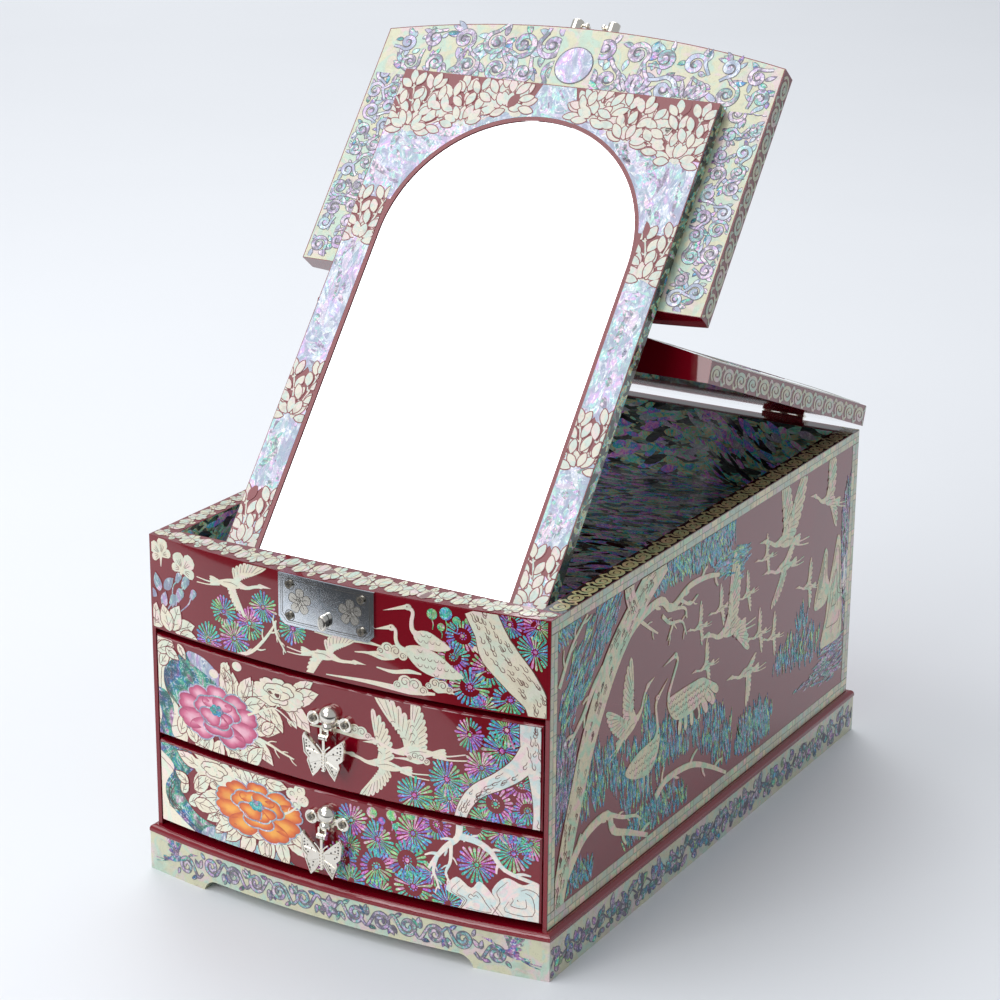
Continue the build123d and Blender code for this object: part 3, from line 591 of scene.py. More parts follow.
class Shell(Enum):
    """Every finish on the box."""

    RED = Lacquer("red_lacquer_gloss", "red_lacquer", (0.16, 0.001, 0.007), (0.20, 0.002, 0.011))
    BLACK = Lacquer("black_lacquer_gloss", "dark_shell", (0.004, 0.006, 0.006), (0.012, 0.014, 0.014))
    CREAM = Nacre(
        "cream_nacre", "shell_veneer",
        (0.80, 0.74, 0.58), (0.85, 0.69, 0.64), (0.70, 0.76, 0.62), (0.54, 0.46, 0.33),
    )
    PEARL = Nacre(
        "pearl_nacre", "shell_veneer",
        (0.86, 0.78, 0.69), (0.90, 0.67, 0.69), (0.62, 0.75, 0.73), (0.48, 0.44, 0.42), scale=1.6,
    )
    GREEN = Nacre(
        "green_nacre", "shell_veneer",
        (0.74, 0.65, 0.42), (0.84, 0.54, 0.50), (0.44, 0.66, 0.44), (0.32, 0.30, 0.18),
        scale=1.4, streak=0.45,
    )
    SPRAY = Nacre(
        "spray_nacre", "shell_veneer",
        (0.60, 0.58, 0.48), (0.66, 0.52, 0.51), (0.47, 0.57, 0.51), (0.34, 0.32, 0.28), scale=1.6,
        streak=0.5,
    )
    # Greener, darker copy of the cream nacre: partly the shell's own green cast, partly painted shade that
    # tones down the strong key light on the lid's underside
    VEIL = Nacre(
        "veil_nacre", "shell_veneer",
        (0.56, 0.55, 0.38), (0.62, 0.49, 0.49), (0.42, 0.56, 0.46), (0.34, 0.33, 0.24), scale=1.3,
        streak=0.4,
    )
    OLIVE = Nacre(
        "olive_nacre", "dark_shell",
        (0.40, 0.33, 0.16), (0.48, 0.33, 0.20), (0.32, 0.37, 0.19), (0.16, 0.13, 0.06), scale=1.6,
        streak=0.5,
    )
    MORTAR = Nacre(
        "mortar_nacre", "shell_veneer",
        (0.22, 0.26, 0.17), (0.26, 0.22, 0.18), (0.16, 0.26, 0.20), (0.10, 0.12, 0.08),
    )
    ROSE = Abalone(
        "rosette_abalone", "shell_veneer", IRIS, (0.02, 0.05, 0.08), 0.4, 1.1, 1.6, metal=0.2, haze=0.6,
        relief=(1.0, 0.002),
    )
    LILAC = Abalone(
        "lilac_abalone", "shell_veneer", LILAC, (0.22, 0.26, 0.36), 0.85, 2.2, 0.8, metal=0.15, haze=0.75,
        draw_out=(1.0, 0.6, 0.6),
    )
    PALE = Abalone(
        "pale_abalone", "shell_veneer", MIST, (0.30, 0.34, 0.42), 0.6, 1.2, 1.0, metal=0.1, haze=0.8,
    )
    STREAM = Abalone(
        "stream_abalone", "shell_veneer", DEEP_SEA, (0.01, 0.03, 0.04), 0.7, 2.4, 0.9, haze=0.7,
    )
    NEEDLE = Abalone(
        "needle_abalone", "shell_veneer", FERN, (0.01, 0.05, 0.07), 0.6, 1.2, 0.8, metal=0.35, haze=0.35,
        relief=(1.0, 0.004),
    )
    SCROLL = Abalone(
        "scroll_abalone", "shell_veneer", PLUME, (0.07, 0.07, 0.11), 0.8, 2.4, 1.6, metal=0.2, haze=0.5,
    )
    SHARDS = Abalone(
        "shard_abalone", "dark_shell", CHIPS, (0.004, 0.007, 0.009), 0.6, 1.6, 0.9, chips=230.0,
        metal=0.0, haze=0.5, draw_out=(0.5, 1.1, 1.5),
    )
    SPARK = Abalone(
        "sliver_abalone", "dark_shell", CHIPS, (0.04, 0.05, 0.10), 0.1, 1.5, 1.2, metal=0.0,
        pale=(0.97, 0.98, 1.0), haze=0.4, relief=(1.0, 0.002),
    )
    PINK = Petal("pink_petal", "shell_veneer", (0.34, 0.015, 0.09), (0.60, 0.12, 0.24), (0.82, 0.44, 0.54))
    ORANGE = Petal(
        "orange_petal", "shell_veneer", (0.46, 0.04, 0.01), (0.72, 0.16, 0.012), (0.86, 0.38, 0.05),
    )
    LINE = Cut("engraved_line", "red_lacquer", (0.12, 0.03, 0.03), (0.30, 0.14, 0.10))
    SMOKE = Cut("smoke_line", "shell_veneer", (0.11, 0.10, 0.13), (0.28, 0.26, 0.30))
    NICKEL = Metal("bright_nickel", "nickel", (0.82, 0.78, 0.70), (0.60, 0.55, 0.46), 0.10)
    # Blue-grey tint and bluer patches of the lock plate: painted reflection of the room in polished steel
    STEEL = Metal("polished_plate", "nickel", (0.74, 0.77, 0.80), (0.50, 0.60, 0.72), 0.0)
    DARK_METAL = Metal("dark_screw", "nickel", (0.30, 0.27, 0.22), (0.16, 0.14, 0.11), 0.22)
    # Dark metal for engraved lines, screw recesses and wing dots: its darkness is painted shade of the cuts
    GROOVE_SHADE = Metal("groove_shade_metal", "nickel", (0.13, 0.12, 0.11), (0.07, 0.06, 0.06), 0.35)
    MIRROR = Mirror("silvered_mirror", "mirror")
    FELT = Cloth("red_felt", "felt", (0.20, 0.008, 0.020), (0.36, 0.03, 0.05))
    WOOD = Lacquer("drawer_paint", "drawer_wood", (0.07, 0.008, 0.010), (0.11, 0.014, 0.016), 0.35)


# Faces of the box


class Leaf(Enum):
    """How a face drawn on the closed box comes to its place at rest."""

    CASE = "case"
    REAR = "rear leaf"
    FRONT = "front leaf"


def turned(points: Array, y: float, z: float, degrees: float) -> Array:
    """Points turned about an X axis.

    Args:
        points: Rows of x, y and z.
        y: Y of the axis.
        z: Z of the axis.
        degrees: The turn.

    Returns:
        The turned rows.
    """
    angle = math.radians(degrees)
    dy, dz = points[:, 1] - y, points[:, 2] - z
    c, s = math.cos(angle), math.sin(angle)
    return np.column_stack((points[:, 0], y + dy * c - dz * s, z + dy * s + dz * c))


def at_rest(points: Array, leaf: Leaf) -> Array:
    """Places on the closed box, brought to the pose at rest and to metres.

    Args:
        points: Rows of x, y and z in millimetres.
        leaf: What carries the points.

    Returns:
        Rows in metres.
    """
    if leaf is Leaf.FRONT:
        points = turned(points, CUT_Y, LID_CREST, -LID_FOLD)
    if leaf is not Leaf.CASE:
        points = turned(points, *PIVOT, -LID_OPEN)
    return (points + (0.0, SETBACK, 0.0)) * MM


def bow_y(x: Array | float, offset: Array | float = 0.0) -> Array:
    """Y of the bowed front."""
    return BOW_Y - np.sqrt((BOW_R + offset) ** 2 - np.square(x))


def crown_z(x: Array | float) -> Array:
    """Z of the lid's arched top on the closed box."""
    return LID_CREST - CROWN_R + np.sqrt(CROWN_R**2 - np.square(x))


@dataclass(frozen=True)
class Face:
    """A face that inlay lies on, with flat coordinates u and v in millimetres."""

    body: str
    at: float = 0.0
    way: float = 1.0
    leaf: Leaf = Leaf.CASE
    cell: float = 0.0

    def spot(self, u: Array, v: Array, h: Array) -> Array:
        """Place on the closed box; each kind of face has its own."""
        raise NotImplementedError

    def place(self, u: Array, v: Array, h: Array) -> Array:
        """Rows of x, y and z at rest in metres, for flat coordinates and heights over the face."""
        return at_rest(self.spot(u, v, h), self.leaf)


class Bowed(Face):
    """Bowed front, u across and v up; at is the offset from the case front."""

    def spot(self, u: Array, v: Array, h: Array) -> Array:
        """Along the bow."""
        return np.column_stack((u, bow_y(u, self.at + h), v))


class Flank(Face):
    """Face square to X, u along Y and v up; at is its X and way the side it looks to."""

    def spot(self, u: Array, v: Array, h: Array) -> Array:
        """Along a side."""
        return np.column_stack((self.at + self.way * h, u, v))


class Across(Face):
    """Face square to Y, u across and v up; at is its Y and way the side it looks to."""

    def spot(self, u: Array, v: Array, h: Array) -> Array:
        """Along the back."""
        return np.column_stack((u, self.at + self.way * h, v))


class Level(Face):
    """Face square to Z, u across and v along Y; at is its Z and way the side it looks to."""

    def spot(self, u: Array, v: Array, h: Array) -> Array:
        """Along a level face."""
        return np.column_stack((u, v, self.at + self.way * h))


class Crown(Face):
    """Arched top of the lid, u across and v along Y."""

    def spot(self, u: Array, v: Array, h: Array) -> Array:
        """Along the crown."""
        return np.column_stack((u, v, crown_z(u) + h))


# Flat outlines


def curve(points: Sequence[Point], per: int = 5, closed: bool = False) -> Outline:
    """Smooth line through points.

    Args:
        points: Points to pass through.
        per: Steps between two points.
        closed: Whether the line returns to its start.

    Returns:
        Points along the line.
    """
    p = np.array(points, float)
    if closed:
        p = np.vstack((p[-1:], p, p[:2]))
    else:
        p = np.vstack((2 * p[:1] - p[1:2], p, 2 * p[-1:] - p[-2:-1]))
    t = (np.arange(per) / per)[:, None]
    spans = []
    for a, b, c, d in zip(p, p[1:], p[2:], p[3:]):
        bend = (2 * a - 5 * b + 4 * c - d) * t**2 + (3 * b - a - 3 * c + d) * t**3
        spans.append(0.5 * (2 * b + (c - a) * t + bend))
    if not closed:
        spans.append(p[-2:-1])
    return [tuple(q) for q in np.vstack(spans)]


def ribbon(points: Sequence[Point], widths: Sequence[float], per: int = 5) -> Outline:
    """Outline of a stroke whose width changes along it.

    Args:
        points: Points of its middle line.
        widths: Widths, spread evenly along it.
        per: Steps between two points.

    Returns:
        Its right side and then its left side backwards, as many points each.
    """
    line = np.array(curve(points, per))
    run = np.linspace(0, 1, len(line))
    half = np.interp(run, np.linspace(0, 1, len(widths)), widths)[:, None] / 2
    step = np.gradient(line, axis=0)
    step /= np.maximum(np.linalg.norm(step, axis=1, keepdims=True), 1e-9)
    side = np.column_stack((step[:, 1], -step[:, 0])) * half
    return [tuple(q) for q in np.vstack((line + side, (line - side)[::-1]))]


def ellipse(x: float, y: float, rx: float, ry: float, count: int = 14) -> Outline:
    """Oval outline."""
    turn = [2 * math.pi * i / count for i in range(count)]
    return [(x + rx * math.cos(a), y + ry * math.sin(a)) for a in turn]


def box_outline(u0: float, u1: float, v0: float, v1: float) -> Outline:
    """Rectangle outline."""
    return [(u0, v0), (u1, v0), (u1, v1), (u0, v1)]


def leaf_outline(length: float, width: float, bend: float = 0.0, round_end: bool = False) -> Outline:
    """Leaf or feather from the origin along +u.

    Args:
        length: Its length.
        width: Its greatest width.
        bend: Sideways bend as a share of the length.
        round_end: Whether the far end is round, as on a feather.

    Returns:
        Its outline.
    """
    if round_end:
        half = [(0, 0.28), (0.35, 0.4), (0.7, 0.5), (0.92, 0.38), (1.0, 0.12)]
    else:
        half = [
            (0, 0.04), (0.08, 0.26), (0.22, 0.44), (0.4, 0.52), (0.44, 0.49), (0.6, 0.45),
            (0.64, 0.4), (0.78, 0.28), (0.82, 0.22), (1.0, 0.0),
        ]
    sway = [bend * length * math.sin(math.pi * 0.5 * t) ** 2 for t, _ in half]
    up = [(t * length, w * width + s) for (t, w), s in zip(half, sway)]
    low = [(t * length, -w * width + s) for (t, w), s in zip(half, sway)]
    return low + up[::-1] if round_end else low + up[-2::-1]


def oval_leaf(length: float, width: float) -> Outline:
    """Smooth oval leaf with a soft point, from the origin along +u.

    Args:
        length: Its length.
        width: Its greatest width.

    Returns:
        Its outline.
    """
    up = [(0.03, 0.1), (0.25, 0.4), (0.55, 0.5), (0.82, 0.32)]
    rim = [(0.0, 0.0), *[(t, -w) for t, w in up], (1.0, 0.0), *[(t, w) for t, w in reversed(up)]]
    return curve([(t * length, w * width) for t, w in rim], 2, True)


def grown(outline: Outline, by: float) -> Outline:
    """Outline moved outwards all round.

    Args:
        outline: The outline, wound anticlockwise.
        by: How far it moves.

    Returns:
        The larger outline.
    """
    p = np.array(outline)
    step = np.roll(p, -1, axis=0) - np.roll(p, 1, axis=0)
    step /= np.maximum(np.linalg.norm(step, axis=1, keepdims=True), 1e-9)
    return [tuple(q) for q in p + np.column_stack((step[:, 1], -step[:, 0])) * by]


def spiral(x: float, y: float, r: float, start: float, turns: float, end: float = 0.18) -> Outline:
    """Points winding in to a centre.

    Args:
        x: Centre.
        y: Centre.
        r: Radius where it begins.
        start: Angle where it begins, in degrees.
        turns: Turns inwards, negative for clockwise.
        end: Last radius as a share of the first.

    Returns:
        Points of its line.
    """
    count = max(4, int(abs(turns) * 9))
    points = []
    for i in range(count + 1):
        t = i / count
        a = math.radians(start + 360 * turns * t)
        radius = r * (1 - (1 - end) * t)
        points.append((x + radius * math.cos(a), y + radius * math.sin(a)))
    return points


def clipped(outline: Outline, window: tuple[float, float, float, float]) -> Outline:
    """Outline cut off at a window's edges.

    Args:
        outline: The outline.
        window: Lowest and highest u, then lowest and highest v.

    Returns:
        What is left of it.
    """
    for axis, bound, sign in ((0, window[0], 1), (0, window[1], -1), (1, window[2], 1), (1, window[3], -1)):
        kept: Outline = []
        for a, b in zip(outline, outline[1:] + outline[:1]):
            da, db = sign * (a[axis] - bound), sign * (b[axis] - bound)
            if da >= 0:
                kept.append(a)
            if (da > 0 > db) or (da < 0 < db):
                t = da / (da - db)
                kept.append((a[0] + (b[0] - a[0]) * t, a[1] + (b[1] - a[1]) * t))
        outline = kept
        if len(outline) < 3:
            return []
    return outline


def filled(points: Outline, cell: float) -> tuple[Array, list[tuple[int, int, int]]]:
    """Triangles of an outline, small enough to follow a curved face.

    Args:
        points: The outline.
        cell: Largest step in u, or 0 on a flat face.

    Returns:
        The points and the triangles, wound anticlockwise.
    """
    p = np.array(points, float)
    size = p.max(0) - p.min(0)
    if not cell or size[0] <= cell:
        faces = tessellate_polygon([[Vector((x, y, 0.0)) for x, y in points]])
    else:
        split = []
        for a, b in zip(p, np.roll(p, -1, axis=0)):
            count = max(1, math.ceil(abs(b[0] - a[0]) / cell))
            split.extend(a + (b - a) * i / count for i in range(count))
        rim = len(split)
        us = np.arange(p[:, 0].min() + cell / 2, p[:, 0].max(), cell)
        vs = np.arange(p[:, 1].min() + cell, p[:, 1].max(), 2 * cell)
        inner = [(u, v) for u in us for v in vs]
        spots = [Vector((float(x), float(y))) for x, y in [*split, *inner]]
        found = delaunay_2d_cdt(spots, [], [list(range(rim))], 1, 1e-4)
        p = np.array([(v.x, v.y) for v in found[0]])
        faces = [tuple(f) for f in found[2]]
    good = []
    for a, b, c in faces:
        area = np.cross(p[b] - p[a], p[c] - p[a])
        if abs(area) > 1e-7:
            good.append((a, b, c) if area > 0 else (a, c, b))
    return p, good


# Laying the shell


@dataclass
class Batch:
    """Pieces of one finish on one face, gathered into a single mesh."""

    spots: list[Array] = field(default_factory=list)
    faces: list[tuple[int, ...]] = field(default_factory=list)
    tints: list[Array] = field(default_factory=list)
    shades: list[Array] = field(default_factory=list)
    count: int = 0

    def add(self, p: Array, faces: list[tuple[int, ...]], top: float, tint: float, shade: Array) -> None:
        """Adds one flat piece with its side walls and underside.

        Args:
            p: Flat points.
            faces: Faces, wound anticlockwise.
            top: Height of its top.
            tint: The piece's number for its colours.
            shade: A number at each point, for painted petals.
        """
        used = sorted({i for f in faces for i in f})
        index = {old: new for new, old in enumerate(used)}
        n = len(used)
        p = p[used]
        ones = np.ones(n)
        self.spots.append(np.column_stack((p, ones * top)))
        self.spots.append(np.column_stack((p, ones * SUNK)))
        self.tints.append(np.full(2 * n, tint))
        self.shades.extend((shade[used], shade[used]))
        edges = Counter()
        for f in faces:
            g = tuple(index[i] + self.count for i in f)
            self.faces.append(g)
            self.faces.append(tuple(i + n for i in reversed(g)))
            edges.update(zip(g, g[1:] + g[:1]))
        for a, b in edges:
            if (b, a) not in edges:
                self.faces.append((a + n, b + n, b, a))
        self.count += 2 * n


class Inlay:
    """Shell pieces on one face of the box."""

    def __init__(self, face: Face, window: tuple[float, float, float, float], seed: int = 1) -> None:
        """Starts an empty face.

        Args:
            face: The face they lie on.
            window: Lowest and highest u, then lowest and highest v.
            seed: Start of its own random numbers.
        """
        self.face = face
        self.window = window
        self.random = random.Random(seed)
        self.batches: dict[Shell, Batch] = {}
        self.hole: tuple[float, float, float] | None = None
        self.laid = 0

    def lay(
        self,
        outline: Outline,
        shell: Shell,
        level: float = 0,
        tint: float | None = None,
        strip: bool = False,
        fan: bool = False,
    ) -> None:
        """Lays one piece.

        Args:
            outline: Its outline.
            shell: Its finish.
            level: How many pieces lie under it.
            tint: Its number for colours, random when left out.
            strip: Whether the outline comes from ribbon.
            fan: Whether its shade runs from 0 at the rim to 1 in the middle.
        """
        u0, u1, v0, v1 = self.window
        p = np.array(outline, float)
        low, high = p.min(0), p.max(0)
        if low[0] > u1 or high[0] < u0 or low[1] > v1 or high[1] < v0:
            return
        if self.hole and np.hypot(p[:, 0] - self.hole[0], p[:, 1] - self.hole[1]).min() < self.hole[2]:
            return
        crosses = low[0] < u0 or high[0] > u1 or low[1] < v0 or high[1] > v1
        if crosses:
            outline = clipped(outline, self.window)
            if len(outline) < 3:
                return
        if fan:
            p = np.array(outline, float)
            p = np.vstack((p, p.mean(0)))
            n = len(outline)
            faces = [(i, (i + 1) % n, n) for i in range(n)]
            faces = [f if np.cross(p[f[1]] - p[f[0]], p[n] - p[f[0]]) > 0 else f[::-1] for f in faces]
        elif strip and not crosses:
            m = len(outline) // 2
            faces = [(i, i + 1, 2 * m - 2 - i, 2 * m - 1 - i) for i in range(m - 1)]
            x, y = p[:, 0], p[:, 1]
            if np.dot(x, np.roll(y, -1)) - np.dot(y, np.roll(x, -1)) < 0:
                faces = [tuple(reversed(f)) for f in faces]
        else:
            p, faces = filled(outline, self.face.cell)
        if not faces:
            return
        value = self.random.random() if tint is None else tint
        shades = np.full(len(p), 0.5)
        if fan:
            shades[:] = 0.0
            shades[-1] = 1.0
        batch = self.batches.setdefault(shell, Batch())
        self.laid += 1
        batch.add(
            p, faces, PIECE_TOP + LEVEL_STEP * level + APART * (self.laid % APART_STEPS), value, shades,
        )

    def skin(self, shell: Shell) -> None:
        """Covers the whole window with one thin sheet."""
        self.lay(box_outline(*self.window), shell, -2, 0.5)

    def build(self, name: str) -> None:
        """Makes one object for each slot, with a material for each finish.

        Args:
            name: Start of the objects' names.
        """
        u, v = (self.window[0] + self.window[1]) / 2, (self.window[2] + self.window[3]) / 2
        probe = np.array([(u, v, 0.0), (u + 1, v, 0.0), (u, v + 1, 0.0), (u, v, 1.0)])
        corner = self.face.place(*probe.T)
        mirrored = np.linalg.det(corner[1:] - corner[0]) < 0
        slots: dict[str, list[Shell]] = {}
        for shell in self.batches:
            slots.setdefault(shell.value.slot, []).append(shell)
        for slot, shells in slots.items():
            self._slot_mesh(f"{name}_{slot}", shells, mirrored)

    def _slot_mesh(self, name: str, shells: Sequence[Shell], mirrored: bool) -> None:
        """Makes the object of one slot.

        Args:
            name: Its name.
            shells: Finishes that belong to it.
            mirrored: Whether the face turns outlines over.
        """
        spots, faces, kinds, tints, shades = [], [], [], [], []
        count = 0
        for index, shell in enumerate(shells):
            batch = self.batches[shell]
            spots += batch.spots
            tints += batch.tints
            shades += batch.shades
            moved = [tuple(i + count for i in f) for f in batch.faces]
            faces += [f[::-1] for f in moved] if mirrored else moved
            kinds += [index] * len(moved)
            count += batch.count
        mesh = bpy.data.meshes.new(name)
        mesh.from_pydata(self.face.place(*np.vstack(spots).T), [], faces)
        mesh.polygons.foreach_set("material_index", kinds)
        for label, rows in (("tint", tints), ("shade", shades)):
            data = mesh.attributes.new(label, "FLOAT", "POINT")
            data.data.foreach_set("value", np.concatenate(rows).astype(np.float32))
        if self.face.cell:
            mesh.shade_smooth()
            mesh.set_sharp_from_angle(angle=math.radians(SHARP_DEGREES))
        for shell in shells:
            mesh.materials.append(shell.value.material())
        obj = bpy.data.objects.new(name, mesh)
        bpy.context.scene.collection.objects.link(obj)
        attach(obj, self.face.body)
        LOG.info("%s: %d faces", name, len(faces))


@dataclass
class Pen:
    """Draws motifs in local units, placed, turned and scaled on an inlay."""

    inlay: Inlay
    x: float = 0.0
    y: float = 0.0
    turn: float = 0.0
    size: float = 1.0
    flip: bool = False

    def at(self, x: float, y: float, turn: float = 0.0, size: float = 1.0, flip: bool = False) -> "Pen":
        """A pen placed relative to this one.

        Args:
            x: Its local place.
            y: Its local place.
            turn: Its turn in degrees.
            size: Its unit in units of this one.
            flip: Whether it draws mirrored.

        Returns:
            The new pen.
        """
        (u, v), = self.to([(x, y)])
        way = -1 if self.flip else 1
        return Pen(self.inlay, u, v, self.turn + way * turn, self.size * size, self.flip != flip)

    def to(self, points: Sequence[Point]) -> Outline:
        """Local points on the face.

        Args:
            points: Points in local units.

        Returns:
            The same points in u and v.
        """
        c, s = math.cos(math.radians(self.turn)), math.sin(math.radians(self.turn))
        way = -1 if self.flip else 1
        placed = []
        for px, py in points:
            px, py = px * self.size, py * self.size * way
            placed.append((self.x + px * c - py * s, self.y + px * s + py * c))
        return placed

    def chance(self, low: float, high: float) -> float:
        """Random number between two."""
        return self.inlay.random.uniform(low, high)

    def shape(self, points: Outline, shell: Shell, level: float = 0, tint: float | None = None) -> None:
        """Lays a piece with this outline."""
        self.inlay.lay(self.to(points), shell, level, tint)

    def edged(self, outline: Outline, by: float, edge: Shell, shell: Shell, low: float, high: float) -> None:
        """Lays a piece at the high level over one grown all round, at the low level, as its edge."""
        self.shape(grown(outline, by), edge, low)
        self.shape(outline, shell, high)

    def blob(self, points: Outline, shell: Shell, level: float = 0) -> None:
        """Lays a piece with a smooth outline through these points."""
        self.shape(curve(points, 4, True), shell, level)

    def fan(self, points: Outline, shell: Shell, level: float = 0) -> None:
        """Lays a piece shaded from its rim to its middle."""
        self.inlay.lay(self.to(points), shell, level, fan=True)

    def line(
        self,
        points: Sequence[Point],
        widths: Sequence[float],
        shell: Shell,
        level: float = 0,
        tint: float | None = None,
        per: int = 4,
    ) -> None:
        """Lays a stroke; widths are in local units."""
        self.inlay.lay(self.to(ribbon(points, widths, per)), shell, level, tint, strip=True)

    def cut(self, points: Sequence[Point], width: float = 0.32, level: float = 4) -> None:
        """Engraves a line of a real width in millimetres.

        Args:
            points: Its points.
            width: Its width.
            level: How many pieces lie under it.
        """
        run = np.hypot(*np.diff(np.array(points), axis=0).T).sum() * self.size
        if run < 3 * width:
            return
        w = width / self.size
        self.line(points, (w * 0.6, w, w * 0.5), Shell.LINE, level, 0.5, 3)

    def leaf(
        self,
        x: float,
        y: float,
        length: float,
        width: float,
        angle: float,
        shell: Shell = Shell.CREAM,
        level: float = 1,
        bend: float = 0.08,
        veins: int = 2,
    ) -> None:
        """Lays a leaf with its veins.

        Args:
            x: Base.
            y: Base.
            length: Length.
            width: Width.
            angle: Direction in degrees.
            shell: Finish.
            level: How many pieces lie under it.
            bend: Sideways bend.
            veins: Pairs of side veins, or -1 for no veins at all.
        """
        pen = self.at(x, y, angle)
        level += 0.15 * (self.inlay.laid % 12)
        outline = leaf_outline(length, width, bend)
        pen.shape(grown(outline, 0.45 / pen.size), Shell.RED, level, 0.5)
        pen.shape(outline, shell, level + 0.3)
        if veins < 0:
            return
        sway = bend * length
        pen.cut([(0.04 * length, 0), (0.5 * length, sway * 0.5), (0.86 * length, sway)], 0.34, level + 1.2)
        for i in range(veins):
            t = 0.2 + 0.42 * i / max(1, veins - 1)
            mid = sway * math.sin(math.pi * 0.5 * t) ** 2
            for side in (-1, 1):
                reach = (t + 0.2) * length, mid + side * width * 0.27
                bent = (t + 0.1) * length, mid + side * width * 0.16
                pen.cut([(t * length, mid), bent, reach], 0.28, level + 1.2)


def rosette(
    pen: Pen, x: float, y: float, r: float, hue: float = 0.0, level: float = 1, count: int = 23
) -> None:
    """Round tuft of pine needles.

    Args:
        pen: The pen.
        x: Centre.
        y: Centre.
        r: Radius.
        hue: Start of its colours.
        level: How many pieces lie under it.
        count: Needles.
    """
    spot = pen.at(x, y, pen.chance(0, 360), r)
    squash = pen.chance(0.84, 1.0)
    side = pen.chance(0, 2 * math.pi)
    spot.shape(ellipse(0, 0, 0.5, 0.5 * squash, 16), Shell.RED, level - 0.3, 0.5)
    for i in range(count):
        a = 2 * math.pi * (i + pen.chance(-0.12, 0.12)) / count
        reach = pen.chance(0.86, 1.04)
        c, s = math.cos(a), math.sin(a)
        flank = ((0.24, 0.02), (0.6, 0.046), (0.9, 0.07), (1.0, 0.034))
        near = [(c * t * reach - s * w, (s * t * reach + c * w) * squash) for t, w in flank]
        far = [(c * t * reach + s * w, (s * t * reach - c * w) * squash) for t, w in reversed(flank)]
        tint = (hue + 0.22 * math.cos(a - side) + pen.chance(-0.05, 0.05)) % 1.0
        spot.shape(near + far, Shell.ROSE, level, tint)
    for i in range(9):
        a = 2 * math.pi * (i + 0.5) / 9
        c, s = math.cos(a), math.sin(a) * squash
        spot.shape(ellipse(0.2 * c, 0.2 * s, 0.045, 0.045, 6), Shell.ROSE, level, (hue + 0.3) % 1.0)
    spot.shape(ellipse(0, 0, 0.11, 0.11 * squash, 10), Shell.ROSE, level, (hue + 0.45) % 1.0)


def grove(pen: Pen, spots: Sequence[tuple[float, float, float, float]]) -> None:
    """Rosettes at heights that differ, each given by its centre, radius and hue."""
    for x, y, r, hue in spots:
        rosette(pen, x, y, r, hue, 1 + 0.25 * (pen.inlay.laid % 9))


def wing(
    pen: Pen, x: float, y: float, angle: float, length: float, trail: float, shell: Shell, count: int = 8,
) -> None:
    """Open wing with its feathers.

    Args:
        pen: The pen.
        x: Shoulder.
        y: Shoulder.
        angle: Direction of the arm in degrees.
        length: Length to the tip.
        trail: How far the first feathers trail behind the arm, in degrees.
        shell: Finish.
        count: Feathers.
    """
    a = math.radians(angle)
    arm = length * 0.5
    for i in range(count):
        t = i / (count - 1)
        bx, by = x + math.cos(a) * arm * t, y + math.sin(a) * arm * t
        feather = pen.at(bx, by, angle + trail * (1 - t) ** 0.8)
        reach = length * (0.34 + 0.22 * t)
        feather.shape(leaf_outline(reach, length * 0.12, 0.05, True), shell, 1 + i % 2)
        if pen.size * length > 18:
            feather.cut([(reach * 0.25, 0), (reach * 0.9, reach * 0.04)], 0.22, 3)
    bend = math.radians(angle + trail * 0.25)
    elbow = x + math.cos(bend) * arm * 0.5, y + math.sin(bend) * arm * 0.5
    tip = x + math.cos(a) * arm * 1.25, y + math.sin(a) * arm * 1.25
    pen.line([(x, y), elbow, tip], (length * 0.17, length * 0.15, length * 0.04), shell, 3)
    if pen.size * length > 22:
        for i in range(3):
            t = 0.25 + 0.25 * i
            c = x + (tip[0] - x) * t, y + (tip[1] - y) * t
            pen.cut(spiral(*c, length * 0.05, angle + 90, -0.5 if trail > 0 else 0.5, 0.9), 0.22, 5)


@dataclass(frozen=True)
class FlyingCrane:
    """Crane on the wing, ten units from beak to tail, flying along +u."""

    upper: tuple[float, float] = (105.0, 5.2)
    lower: tuple[float, float] = (-115.0, 4.2)
    neck: float = 0.0
    feathers: int = 8

    def draw(self, pen: Pen, shell: Shell = Shell.CREAM) -> None:
        """Lays the crane.

        Args:
            pen: Pen at the tail end.
            shell: Finish.
        """
        n = self.neck
        pen.line([(2.4, -0.2), (0.7, -0.3), (-1.3, -0.1)], (0.26, 0.16, 0.12), shell, 1)
        pen.line([(2.4, -0.35), (0.6, -0.7), (-1.3, -0.75)], (0.26, 0.16, 0.12), shell, 1)
        for i in range(4):
            pen.at(2.6, 0, 168 + 10 * i).shape(leaf_outline(1.8, 0.42, 0, True), shell, 1 + i % 2)
        wing(pen, 4.6, 0.2, *self.lower, -65 if self.lower[0] < 0 else 60, shell, self.feathers)
        body = [
            (6.1, 0.3), (5.2, 0.72), (4.0, 0.66), (2.8, 0.34), (1.9, 0.0), (2.8, -0.4), (4.2, -0.55),
            (5.5, -0.25),
        ]
        pen.blob(body, shell, 3)
        neck = [(5.6, 0.1), (6.7, 0.0 + n * 0.3), (7.7, 0.3 + n * 0.8), (8.6, 0.5 + n)]
        pen.line(neck, (0.85, 0.44, 0.36, 0.40), shell, 3)
        pen.shape(ellipse(8.7, 0.55 + n, 0.42, 0.3, 10), shell, 4)
        pen.shape([(8.9, 0.8 + n), (10.3, 0.55 + n), (8.9, 0.38 + n)], shell, 3)
        wing(pen, 4.9, 0.4, *self.upper, 65 if self.upper[0] > 0 else -60, shell, self.feathers)
        pen.cut([(3.0, 0.1), (4.2, 0.2), (5.2, -0.05)], 0.22, 5)


